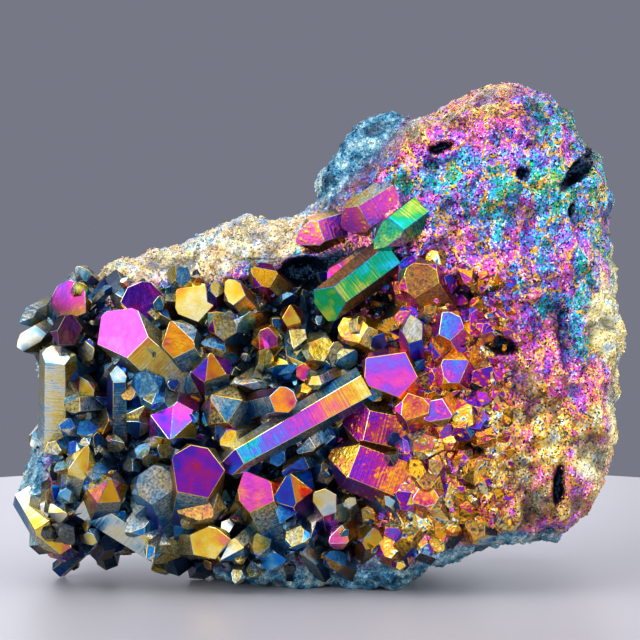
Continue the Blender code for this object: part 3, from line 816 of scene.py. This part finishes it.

# %% [markdown]
# Between the large points the ground is full of small ones that lean every way. They are drawn
# by chance, each from its own fixed seed, so the stone is the same each time. The hollow shows
# dark blue and old gold with a bright face now and then, while the slope at its right, where
# more vapour fell, is a scale-like mass of magenta, purple and gold faces.

# %% The small points
# The hollow's small points take mostly dark stages: dull film, and painted shade between the crystals
HOLLOW = (
    "dark azure", "dark azure", "dark sky", "dark sky", "dark silver", "dark royal", "dark cream",
    "dark cream", "dark cream", "dark gold", "azure", "cream", "silver",
)
BRIGHT = (
    "yellow", "cream", "gold", "purple", "royal", "azure", "sky", "silver", "dark azure", "dark azure",
    "dark sky", "dark sky", "dark royal", "dark cream", "dark cream",
)
SLOPE = (
    "purple", "purple", "magenta", "rose", "indigo", "gold", "gold", "yellow", "magenta", "amber",
    "dark gold",
)
LOW_SLOPE = (
    "gold", "yellow", "old gold", "yellow", "amber", "magenta", "purple", "dark gold", "dark cream", "cream",
)
# first seed, how many, x range, z range, width, length, length of the end as a share of the
# width, sink, lean, stages, stages of the edges
SMALL_KINDS = (
    (1000, 54, (-55, 18), (4, 60), (2.6, 5.0), (9.0, 13.5), (0.6, 1.2), 4.5, 1.0, BRIGHT, MIXED_EDGES),
    (2000, 230, (-53, 6), (4, 60), (2.6, 6.0), (8.5, 14.0), (0.6, 1.2), 4.5, 1.25, HOLLOW, MIXED_EDGES),
    (3000, 320, (-53, 16), (3, 60), (1.0, 2.6), (4.0, 8.0), (0.6, 1.2), 2.4, 1.2, BRIGHT, MIXED_EDGES),
    (4000, 130, (5, 33), (29, 64), (3.0, 6.5), (5.6, 7.2), (0.25, 0.7), 5.0, 1.1, SLOPE, GOLD_EDGES),
    (4200, 70, (5, 33), (8, 29), (3.0, 6.5), (5.6, 7.2), (0.25, 0.7), 5.0, 1.1, LOW_SLOPE, GOLD_EDGES),
    (5000, 340, (3, 38), (29, 63), (0.9, 2.6), (2.4, 4.4), (0.5, 1.4), 2.2, 1.3, SLOPE, GOLD_EDGES),
    (5400, 220, (3, 38), (5, 29), (0.9, 2.6), (2.4, 4.4), (0.5, 1.4), 2.2, 1.3, LOW_SLOPE, GOLD_EDGES),
)
SMALL_EDGE_WIDTH = 0.7 * EDGE_WIDTH
SMALL_GIRTHS = (0.85, 1.1)
SMALL_SHARES = (1.1, 1.6)
# Small points grow only where the ground faces the viewer this much, and lean with the ground
FACING = 0.3
NORMAL_SHARE = 0.3
# The bare foot of the slope reaches this high at FOOT_FROM, and rises to the right by this share
FOOT_FROM = 5.0
FOOT_HEIGHT = 6.5
FOOT_RISE = 0.14
# The pale edges: left of this x, and above this z at TOP_FROM, from where the edge rises
PALE_LEFT = -51.5
PALE_TOP = 56.5
TOP_FROM = -44.0
TOP_RISE = 0.3
PALE_NAMES = ("silver", "cream", "silver", "dark cream")


def at_pale_edge(x, z):
    """Whether a point stands at the left or upper edge, where the rock hardly took the film."""
    return x < PALE_LEFT or z > PALE_TOP + TOP_RISE * (x - TOP_FROM)


def grow_small_points():
    thicket = Thicket("small_quartz_points")
    for first_seed, count, xs, zs, widths, lengths, ends, sink, lean, stages, edges in SMALL_KINDS:
        on_slope = edges is GOLD_EDGES
        for seed in range(first_seed, first_seed + count):
            rng = random.Random(seed)
            x = rng.uniform(*xs)
            z = rng.uniform(*zs)
            tilt = Vector((rng.uniform(-1, 1), 0, rng.uniform(-1, 1))) * lean
            width = rng.uniform(*widths)
            length = rng.uniform(*lengths)
            point = rng.uniform(*ends)
            roll = rng.uniform(0, 60)
            shares = [1.0] + [rng.uniform(*SMALL_SHARES) for _ in range(SIDES - 1)]
            place, normal, to_eye = on_front(x, z)
            if normal.y > -FACING or on_slope and z < FOOT_HEIGHT + FOOT_RISE * (x - FOOT_FROM):
                continue
            girths = [TABLET] + [rng.uniform(*SMALL_GIRTHS) for _ in range(SIDES - 1)]
            names = [rng.choice(stages) for _ in range(3)]
            # The root always takes a dark stage: dull film, and painted shade toward the ground
            names.append("dark azure" if stage_of(names[2])[0] > SECOND_ORDER else "dark gold")
            if at_pale_edge(x, z):
                names = PALE_NAMES
            along = (to_eye + normal * NORMAL_SHARE + tilt).normalized()
            root = place - along * sink * MM
            tip = root + along * length * MM
            bm = cut_point(length, width, point, girths, shares)
            bevel_edges(bm, SMALL_EDGE_WIDTH)
            coat_of = make_coat(*names, (sink, length), rng, edges)
            thicket.add(bm, standing(root, tip, roll), coat_of, float(on_slope))
            bm.free()
    return thicket.finish()


small_points = grow_small_points()

# %% [markdown]
# The crust's colours lie in broad regions. Some two dozen soft spots, each with a place, a reach
# and a stage of the film, describe them: the nearest spots decide the film's thickness at a place.
# Neighbouring regions have neighbouring stages, because a film's thickness changes slowly. Some
# zones hardly took the film and stayed pale: the set-back nub, the band along the upper left
# edge, the left edge, the right rim, the foot and the back. The hollow under the crystals and the
# crust's valleys and holes are darkened as painted shade.

# %% The regions of colour
# x, z, reach in millimetres, stage
REGIONS = (
    (34, 96, 4, "yellow"),
    (22, 89, 4, "orange"),
    (46, 91, 6, "cyan"),
    (33, 86, 5, "violet"),
    (38, 80, 6, "teal"),
    (23, 81, 5, "cyan"),
    (11, 74, 6, "magenta"),
    (28, 70, 7, "violet"),
    (41, 68, 6, "violet"),
    (53, 76, 6, "cyan"),
    (53, 65, 5, "cyan"),
    (50, 57, 5, "periwinkle"),
    (33, 58, 5, "pink"),
    (42, 56, 5, "violet"),
    (55, 50, 4, "magenta"),
    (30, 46, 6, "orange"),
    (42, 42, 5, "orange"),
    (51, 37, 4, "pink"),
    (35, 34, 6, "yellow"),
    (46, 26, 6, "orange"),
    (31, 22, 6, "yellow"),
    (53, 22, 4, "orange"),
    (38, 16, 5, "yellow"),
    (22, 12, 5, "yellow"),
    (42, 10, 4, "teal"),
    (24, 5, 4, "teal"),
    (-30, 35, 20, "violet"),
)
REGION_SPOTS = np.array([(x, z, reach, FILM[stage][0]) for x, z, reach, stage in REGIONS])
# How much the film varies within a region, and the spacing and offset of these two noises
COAT_UNEVEN = 0.09
COAT_SPACINGS = ((7.0, 0.0), (2.6, 9.0))
# How far in millimetres the borders of the pale zones wander, and that noise's spacing and offset
ZONE_DRIFT = 7.0
DRIFT_SPACING = (9.0, 4.0)
CRUST_NUMBERS = ("film", "pale", "warmth", "hollow_painted_shade")
# Keeps a division from failing where everything is 0
TINY = 1e-9
# The hollow's borders, where the crust is painted in shade, each from outside to inside: right, back, top at
# TOP_FROM, left and bottom
HOLLOW_RIGHT = (14.0, 4.0)
HOLLOW_BACK = (2.0, -3.0)
HOLLOW_TOP = (55.0, 52.0)
HOLLOW_LEFT = (-54.5, -51.0)
HOLLOW_BOTTOM = (3.0, 8.0)
NUB_WARMTH = 0.15
# The other pale zones: how bare and how warm each is, and its borders, from outside to inside
PALE_ZONES = {
    "upper edge": (0.8, 0.8, (("level", 54.0, 57.0), ("x", 4.0, -2.0))),
    "left edge": (1.0, 0.35, (("x", -51.0, -54.0), ("z", 9.0, 14.0))),
    "right rim": (1.0, 0.85, (("x", 52.5, 55.5), ("z", 20.0, 28.0), ("z", 68.0, 60.0))),
    "foot": (1.0, 0.3, (("above foot", 3.0, -1.0), ("x", -30.0, -18.0), ("x", 52.0, 44.0))),
    "back": (0.8, 0.45, (("y", 2.0, 14.0),)),
}


def ease(low, high, values):
    """The same as smooth_step, for arrays."""
    t = np.clip((values - low) / (high - low), 0.0, 1.0)
    return t * t * (3 - 2 * t)


def noise_at(places, spacing, offset=0.0):
    shift = Vector((offset, offset, offset))
    return np.array([noise.noise(Vector(p) / spacing + shift) for p in places])


def region_film(places):
    """The film's thickness at each place in millimetres, from the nearest spots."""
    x = places[:, 0][:, None] - REGION_SPOTS[:, 0]
    z = places[:, 2][:, None] - REGION_SPOTS[:, 1]
    near = np.exp(-(x * x + z * z) / (2 * REGION_SPOTS[:, 2] ** 2)) + TINY
    return (near * REGION_SPOTS[:, 3]).sum(axis=1) / near.sum(axis=1)


def pale_zones(places):
    """How little film each place took, and how yellow instead of blue its quartz is."""
    x, y, z = places.T
    above_foot = z - FOOT_HEIGHT - FOOT_RISE * np.maximum(x - FOOT_FROM, 0.0)
    level = z - TOP_RISE * (x - TOP_FROM)
    measures = {"x": x, "y": y, "z": z, "level": level, "above foot": above_foot}
    shares = [np.array([on_nub(a, b) for a, b in zip(x, z)])]
    tints = [NUB_WARMTH]
    for bareness, tint, borders in PALE_ZONES.values():
        share = bareness
        for measure, outside, inside in borders:
            share = share * ease(outside, inside, measures[measure])
        shares.append(share)
        tints.append(tint)
    warmth = np.dot(tints, shares) / (np.sum(shares, axis=0) + TINY)
    return np.max(shares, axis=0), warmth


def coat_ground(mesh):
    places = np.empty(len(mesh.vertices) * 3)
    mesh.vertices.foreach_get("co", places)
    places = places.reshape(-1, 3) / MM
    values = region_film(places)
    for spacing, offset in COAT_SPACINGS:
        values += COAT_UNEVEN * noise_at(places, spacing, offset)
    x, y, z = places.T
    in_hollow = ease(*HOLLOW_RIGHT, x) * ease(*HOLLOW_LEFT, x) * ease(*HOLLOW_BACK, y)
    in_hollow *= ease(*HOLLOW_TOP, z - TOP_RISE * (x - TOP_FROM)) * ease(*HOLLOW_BOTTOM, z)
    drift = ZONE_DRIFT * noise_at(places, *DRIFT_SPACING)[:, None]
    pale, warmth = pale_zones(places + drift)
    film = np.clip(values, 0.0, 1.0)
    # Painted shade: the hollow under the crystals and the valleys and holes are darkened
    hollow_painted_shade = np.maximum(in_hollow, np.array(valley_painted_shade))
    numbers = dict(zip(CRUST_NUMBERS, (film, pale * (1 - in_hollow), warmth, hollow_painted_shade)))
    for name, value in numbers.items():
        layer = mesh.attributes.new(name, "FLOAT", "POINT")
        layer.data.foreach_set("value", value.astype(np.float32))
        print(name, "from", round(float(value.min()), 2), "to", round(float(value.max()), 2))
    return places, numbers


ground_places, ground_numbers = coat_ground(ground.data)

# %% [markdown]
# The crust's surface is a druse of grains up to a millimetre wide, each a tiny crystal of its
# own. From a step away such a grain is a few facets that catch the light, so a double pyramid
# with uneven corners is enough. Twenty thousand of them are shaped, turned and laid on the skin
# by arithmetic on arrays, which takes a second instead of minutes.

# %% The crust of grains
SEED = 7
GRAIN_COUNT = 20000
GRAIN_WIDTHS = (0.35, 1.0)
GRAIN_SINK = 0.12
GRAIN_LEAN = 0.6
CORNER_REACH = (0.6, 1.3)
CORNER_SHIFT = 0.15
# How much the film differs from grain to grain, and between the facets of one
GRAIN_TO_GRAIN = 0.03
FACET_TO_FACET = 0.02
# Grains are densest on pale crust, and sparse in the hollow and at the back
COATED_SHARE = 0.5
HOLLOW_SHARE = 1.1
BACK_SHARE = 0.3
TO_FRONT = (10.0, 2.0)
# No grain sits lower, and no corner reaches lower, in millimetres
LOWEST_SEAT = 1.5
LOWEST_CORNER = 0.02
# The corners of a double pyramid, at both ends of each axis, and its eight faces
CORNERS = np.array([(1, 0, 0), (-1, 0, 0), (0, 1, 0), (0, -1, 0), (0, 0, 1), (0, 0, -1)]) * 0.5
FACETS = np.array([
    (0, 2, 4), (2, 1, 4), (1, 3, 4), (3, 0, 4), (2, 0, 5), (1, 2, 5), (3, 1, 5), (0, 3, 5),
])


def unit(vectors):
    return vectors / np.maximum(np.linalg.norm(vectors, axis=1), TINY)[:, None]


def choose_seats(draw):
    """Random places on the skin, denser in the pale zones and in front, with their normals."""
    mesh = ground.data
    mesh.calc_loop_triangles()
    triangles = np.empty(len(mesh.loop_triangles) * 3, dtype=np.int64)
    mesh.loop_triangles.foreach_get("vertices", triangles)
    triangles = triangles.reshape(-1, 3)
    a, b, c = (ground_places[triangles[:, i]] for i in range(3))
    cross = np.cross(b - a, c - a)
    weight = np.linalg.norm(cross, axis=1) * (COATED_SHARE + ground_numbers["pale"][triangles[:, 0]])
    weight *= HOLLOW_SHARE - ground_numbers["hollow_painted_shade"][triangles[:, 0]]
    weight *= BACK_SHARE + ease(*TO_FRONT, a[:, 1])
    weight *= a[:, 2] > LOWEST_SEAT
    chosen = draw.choice(len(triangles), GRAIN_COUNT, p=weight / weight.sum())
    shares = draw.dirichlet((1, 1, 1), GRAIN_COUNT)
    seats = a[chosen] * shares[:, :1] + b[chosen] * shares[:, 1:2] + c[chosen] * shares[:, 2:]
    return seats, unit(cross[chosen]), triangles[chosen, 0]


def lay_grains():
    draw = np.random.default_rng(SEED)
    seats, normals, corner_of = choose_seats(draw)
    width = GRAIN_WIDTHS[0] + (GRAIN_WIDTHS[1] - GRAIN_WIDTHS[0]) * draw.random(GRAIN_COUNT) ** 2
    along = unit(normals + draw.uniform(-GRAIN_LEAN, GRAIN_LEAN, (GRAIN_COUNT, 3)))
    side = unit(np.cross(along, draw.uniform(-1, 1, (GRAIN_COUNT, 3))))
    turn = np.stack([side, np.cross(along, side), along], axis=1)
    shapes = CORNERS * draw.uniform(*CORNER_REACH, (GRAIN_COUNT, 6, 1))
    shapes = shapes + draw.uniform(-CORNER_SHIFT, CORNER_SHIFT, (GRAIN_COUNT, 6, 3))
    placed = np.einsum("nij,njk->nik", shapes, turn) * width[:, None, None]
    placed += (seats - normals * (width * GRAIN_SINK)[:, None])[:, None, :]
    placed[:, :, 2] = np.maximum(placed[:, :, 2], LOWEST_CORNER)
    facets = (np.arange(GRAIN_COUNT)[:, None, None] * len(CORNERS) + FACETS).reshape(-1, 3)
    crust = bpy.data.meshes.new("crust_grains")
    crust.from_pydata((placed.reshape(-1, 3) * MM).tolist(), [], facets.tolist())

    film = ground_numbers["film"][corner_of] + draw.normal(0, GRAIN_TO_GRAIN, GRAIN_COUNT)
    film = film[:, None] + draw.normal(0, FACET_TO_FACET, (GRAIN_COUNT, len(FACETS)))
    layers = {"film": film}
    for name in CRUST_NUMBERS[1:]:
        layers[name] = np.repeat(ground_numbers[name][corner_of][:, None], len(FACETS), axis=1)
    for name, values in layers.items():
        layer = crust.attributes.new(name, "FLOAT", "FACE")
        layer.data.foreach_set("value", values.ravel().astype(np.float32))
    crust.update()
    obj = bpy.data.objects.new("crust_grains", crust)
    bpy.context.scene.collection.objects.link(obj)
    print("grains:", GRAIN_COUNT, "with", len(facets), "triangles")
    return obj


grains = lay_grains()

# %% [markdown]
# The points are vacuum-coated quartz: growth faces as smooth as glass under a film of metal. The
# film reflects like a metal and its colour is the reflection's, so the shader is metallic with
# low roughness. Fine lines run across the prism's sides, which is how quartz grows; they are
# about 0.35 mm apart and bend the light a little. Where the film is dull it is also less smooth,
# and the points of the slope are veined and crumpled, as their `rough` number says.

# %% Coated quartz points
GROWTH_LINE_MM = 0.35
VEIN_MM = 0.9
# Size in millimetres, detail and roughness of the blotches, the pits and the hillocks
POINT_NOISES = ((4.0, 2.0, 0.5), (0.5, 5.0, 0.75), (2.2, 2.0, 0.5))
TERRACES = 8.0
SMOKY_AND_SHADE_BLUE = "#1C3148"
DEEP_SHADE_BLUE = "#0C1C34"
NOISE_MIDDLE = 0.5
# How the patterns are scaled (1) and shifted (2) before they are used
BLOTCH_FILM = {1: 0.22, 2: -0.11}
VEIN_FILM = {1: -0.42, 2: 0.05}
LINE_FILM = {1: 0.13}
DUST_COVER = {1: 3.2, 2: -0.75}
LEAST_DULL = {1: 0.12}
SUNK_SHADE = {1: 0.85}
SMOOTH_SKIN = {1: 0.5, 2: 0.15}
CRUMPLED_SKIN = {1: 0.8}
POINT_ROUGHNESS = {1: 0.32, 2: 0.13}
# How strong and how high the bumps are
LINE_BUMP = {"Strength": 0.6, "Distance": 0.1 * MM}
TERRACE_BUMP = {"Strength": 0.3, "Distance": 0.06 * MM}
VEIN_BUMP = {"Distance": 0.3 * MM}
PIT_BUMP = {"Distance": 0.16 * MM}
POINT_METAL = 0.95


def ramp_of(tree, value, stops):
    """The colour for a value from 0 to 1, by stops that each have a place and a colour."""
    colour = add_node(tree, "ValToRGB", links={"Fac": value})
    elements = colour.node.color_ramp.elements
    while len(elements) < len(stops):
        elements.new(1.0)
    for element, (place, hex_colour) in zip(elements, stops):
        element.position = place
        element.color = linear(hex_colour)
    return colour


def stored(tree, names):
    """The numbers that are stored on the mesh under these names."""
    return [add_node(tree, "Attribute", {"attribute_name": name}, out="Fac") for name in names]


def vacuum_coated_quartz_points():
    material, tree, shader = new_material("vacuum_coated_quartz_points")
    add = partial(add_node, tree)
    place = add("TexCoord", out="Object")
    film, dull_and_shade, along, lined, rough, sunk_painted_shade = stored(tree, CRYSTAL_NUMBERS)
    blotches, dust, hillocks = (
        add("TexNoise", None, {"Scale": 1 / (size * MM), "Detail": detail, "Roughness": rough_share},
            {"Vector": place})
        for size, detail, rough_share in POINT_NOISES
    )
    veins = add(
        "TexNoise", {"noise_type": "RIDGED_MULTIFRACTAL", "normalize": True},
        {"Scale": 1 / (VEIN_MM * MM), "Detail": 4.0}, {"Vector": place},
    )
    lines = add(
        "TexNoise", {"noise_dimensions": "1D"}, {"Scale": 1 / GROWTH_LINE_MM, "Detail": 2.0},
        {"W": along},
    )
    centred_lines = add("Math", {"operation": "SUBTRACT"}, {1: NOISE_MIDDLE}, {0: lines})
    line_height = add("Math", MULTIPLY, None, {0: centred_lines, 1: lined})

    smooth_film = add("Math", MULTIPLY_ADD, BLOTCH_FILM, {0: blotches})
    vein_film = add("Math", MULTIPLY_ADD, VEIN_FILM, {0: veins})
    uneven = add("Math", MULTIPLY_ADD, None, {0: rough, 1: vein_film, 2: smooth_film})
    streaked = add("Math", MULTIPLY_ADD, LINE_FILM, {0: line_height, 2: uneven})
    thickness = add("Math", ADD, None, {0: film, 1: streaked})
    film_colour = ramp_of(tree, thickness, list(FILM.values()))

    # Dust and the dull, dark stages mix the colour toward smoky blue: dust, dull film and painted shade
    dusty = add("Math", MULTIPLY_ADD, DUST_COVER, {0: dust})
    least_dull_and_shade = add("Math", ADD, LEAST_DULL, {0: dull_and_shade})
    shade = add("Math", {**MULTIPLY, "use_clamp": True}, None, {0: least_dull_and_shade, 1: dusty})
    # Painted shade: points deep between the crystals of the hollow are mixed toward deep blue
    depth = add("Math", MULTIPLY, SUNK_SHADE, {0: sunk_painted_shade})
    colour = film_colour
    for share, dark in ((shade, SMOKY_AND_SHADE_BLUE), (depth, DEEP_SHADE_BLUE)):
        colour = add("Mix", RGBA, {"B": linear(dark)}, {"Factor": share, "A": colour}, "Result")
    tree.links.new(colour, shader.inputs["Base Color"])

    stepped = add("Math", MULTIPLY, {1: TERRACES}, {0: hillocks})
    terraces = add("Math", {"operation": "FRACT"}, None, {0: stepped})
    smooth_skin = add("Math", MULTIPLY_ADD, SMOOTH_SKIN, {0: dull_and_shade})
    sugary = add("Math", MULTIPLY_ADD, CRUMPLED_SKIN, {0: rough, 2: smooth_skin})
    normal = add("Bump", None, LINE_BUMP, {"Height": line_height})
    normal = add("Bump", None, TERRACE_BUMP, {"Height": terraces, "Normal": normal})
    for pattern, share, bump in ((veins, rough, VEIN_BUMP), (dust, sugary, PIT_BUMP)):
        normal = add("Bump", None, bump, {"Height": pattern, "Normal": normal, "Strength": share})
    tree.links.new(normal, shader.inputs["Normal"])
    roughness = add("Math", MULTIPLY_ADD, POINT_ROUGHNESS, {0: dull_and_shade})
    tree.links.new(roughness, shader.inputs["Roughness"])
    shader.inputs["Metallic"].default_value = POINT_METAL
    print(material.name, "has", len(tree.nodes), "nodes")
    return material


points_finish = vacuum_coated_quartz_points()
for thicket in (large_points, small_points):
    thicket.data.materials.append(points_finish)

# %% [markdown]
# The crust has the same film on a druse, a skin of grains too small to model one by one. Each
# grain is a tiny mirror set at its own angle, so it flashes or stays dark by itself. A Voronoi
# pattern makes such cells, and the random colour of each cell, taken as a direction, tips its
# normal. The real grains are 0.2 to 0.5 mm wide; they are drawn at 0.32 mm so that they show.
# A second, wider pattern with wandering borders, drawn out upwards as the crust's ribs are, makes
# the plates of a crumpled foil: each tips the light its own way, and thin gold seams run along
# parts of the borders. Some grains are painted near-black, as painted shade of grains turned from
# the light, and some are painted pale, partly as bare quartz and partly as painted glints.

# %% Coated druse crust
DRUSE_GRAIN_MM = 0.32
DRUSE_TIP = 0.7
PLATE_MM = 3.0
PLATE_TIP = 0.5
STEEP = (1.0, 1.0, 0.5)
WANDER_MM = 1.8
# Size in millimetres, detail and roughness of the specks and the stains
CRUST_NOISES = ((0.9, 4.0, 0.65), (3.0, 6.0, 0.65))
# The near-black of painted shade, on grains as if turned from the light
SHADOW = "#10121E"
# Pale grains: partly bare quartz, partly a painted glint of grains catching the light
BARE_QUARTZ_AND_GLINT = "#E2E0EC"
# Quartz that hardly took the film, from blue through white to yellow
PALE_TINTS = (
    (0.15, "#184660"), (0.30, "#3084AE"), (0.45, "#98CAD8"), (0.56, "#E6ECE2"), (0.68, "#F4E8A0"),
    (0.92, "#DCB866"),
)
# How much specks, plates and single grains change the film, and the sum of their means
SPECK_FILM = {1: 0.38}
PLATE_FILM = {1: 0.12}
GRAIN_FILM = {1: 0.07}
MEAN_FILM = {1: 0.28}
# How the patterns are scaled (1) and shifted (2) before they are used
SEAM_WIDTH = {1: 0.6, 2: -0.27}
# How many grains are painted pale: bare quartz and painted glints
BARE_AND_GLINT_GRAINS = {1: 3.0, 2: -2.1}
# Painted shade: how many grains are darkened as if turned from the light, and less so on pale crust
SHADED_GRAINS = {1: -4.0, 2: 1.3}
GRAIN_SHADE_IN_PALE = {1: -0.25, 2: 0.95}
STAINS = {1: 1.5, 2: -0.55}
WARMTH = {1: 0.6}
CRUST_METAL = {1: -0.6, 2: 0.95}
CRUMPLE_BUMP = {"Strength": 0.7, "Distance": 0.25 * MM}
CRUST_ROUGHNESS = 0.28


def vacuum_coated_druse():
    material, tree, shader = new_material("vacuum_coated_druse")
    add = partial(add_node, tree)
    place = add("TexCoord", out="Object")
    film, pale, warmth, hollow_painted_shade = stored(tree, CRUST_NUMBERS)
    specks, stains = (
        add("TexNoise", None, {"Scale": 1 / (size * MM), "Detail": detail, "Roughness": rough_share},
            {"Vector": place})
        for size, detail, rough_share in CRUST_NOISES
    )
    wander = add(
        "TexNoise", None, {"Scale": 1 / (WANDER_MM * MM), "Detail": 3.0}, {"Vector": place}, "Color",
    )
    wandering = add("VectorMath", MULTIPLY_ADD, {1: (WANDER_MM * MM,) * 3}, {0: wander, 2: place})
    steep = add("VectorMath", MULTIPLY, {1: STEEP}, {0: wandering})
    cells, plates = (
        add("TexVoronoi", None, {"Scale": 1 / (size * MM)}, {"Vector": at}, "Color")
        for size, at in ((DRUSE_GRAIN_MM, place), (PLATE_MM, steep))
    )
    to_border = add(
        "TexVoronoi", {"feature": "DISTANCE_TO_EDGE"}, {"Scale": 1 / (PLATE_MM * MM)},
        {"Vector": steep}, "Distance",
    )
    cell = add("SeparateColor", links={"Color": cells}).node.outputs
    plate = add("SeparateColor", links={"Color": plates}, out="Red")

    thickness = film
    for pattern, share in ((specks, SPECK_FILM), (plate, PLATE_FILM), (cell["Blue"], GRAIN_FILM)):
        thickness = add("Math", MULTIPLY_ADD, share, {0: pattern, 2: thickness})
    thickness = add("Math", {"operation": "SUBTRACT"}, MEAN_FILM, {0: thickness})
    film_colour = ramp_of(tree, thickness, list(FILM.values()))

    seam_width = add("Math", MULTIPLY_ADD, SEAM_WIDTH, {0: specks})
    seam = add("Math", {"operation": "LESS_THAN"}, None, {0: to_border, 1: seam_width})
    # Pale grains, partly bare quartz and partly painted glints
    bare_and_glint = add("Math", {**MULTIPLY_ADD, "use_clamp": True}, BARE_AND_GLINT_GRAINS, {0: cell["Green"]})
    stained = add("Math", MULTIPLY_ADD, STAINS, {0: stains})
    tint = add("Math", MULTIPLY_ADD, WARMTH, {0: warmth, 2: stained})
    # Painted shade: random grains are mixed toward near-black as if turned from the light, less on pale
    # crust
    dark = add("Math", {**MULTIPLY_ADD, "use_clamp": True}, SHADED_GRAINS, {0: cell["Red"]})
    grain_shade_share = add("Math", MULTIPLY_ADD, GRAIN_SHADE_IN_PALE, {0: pale})
    dark = add("Math", MULTIPLY, None, {0: dark, 1: grain_shade_share})
    colour = film_colour
    for share, hex_colour in ((seam, FILM["gold"][1]), (bare_and_glint, BARE_QUARTZ_AND_GLINT)):
        colour = add("Mix", RGBA, {"B": linear(hex_colour)}, {"Factor": share, "A": colour}, "Result")
    pale_colour = ramp_of(tree, tint, PALE_TINTS)
    colour = add("Mix", RGBA, None, {"Factor": pale, "A": colour, "B": pale_colour}, "Result")
    # Painted shade: random grains toward near-black, then the hollow and valleys toward dark blue
    for share, hex_colour in ((dark, SHADOW), (hollow_painted_shade, SMOKY_AND_SHADE_BLUE)):
        colour = add("Mix", RGBA, {"B": linear(hex_colour)}, {"Factor": share, "A": colour}, "Result")
    tree.links.new(colour, shader.inputs["Base Color"])

    facing = add("Bump", None, CRUMPLE_BUMP, {"Height": specks})
    for pattern, tip in ((cells, DRUSE_TIP), (plates, PLATE_TIP)):
        aside = add("VectorMath", {"operation": "SUBTRACT"}, {1: (NOISE_MIDDLE,) * 3}, {0: pattern})
        facing = add("VectorMath", MULTIPLY_ADD, {1: (tip,) * 3}, {0: aside, 2: facing})
    normal = add("VectorMath", {"operation": "NORMALIZE"}, None, {0: facing})
    tree.links.new(normal, shader.inputs["Normal"])
    metallic = add("Math", MULTIPLY_ADD, CRUST_METAL, {0: pale})
    tree.links.new(metallic, shader.inputs["Metallic"])
    shader.inputs["Roughness"].default_value = CRUST_ROUGHNESS
    print(material.name, "has", len(tree.nodes), "nodes")
    return material


crust_finish = vacuum_coated_druse()
ground.data.materials.clear()
for crust in (ground, grains):
    crust.data.materials.append(crust_finish)

# %% [markdown]
# Every piece moves with the stone's one body and stands for its one solid.

# %% Tie the pieces to the frame
for polygon in ground.data.polygons:
    polygon.use_smooth = True
for piece in (ground, large_points, small_points, grains):
    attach(piece, "root")
    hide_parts(NODE)
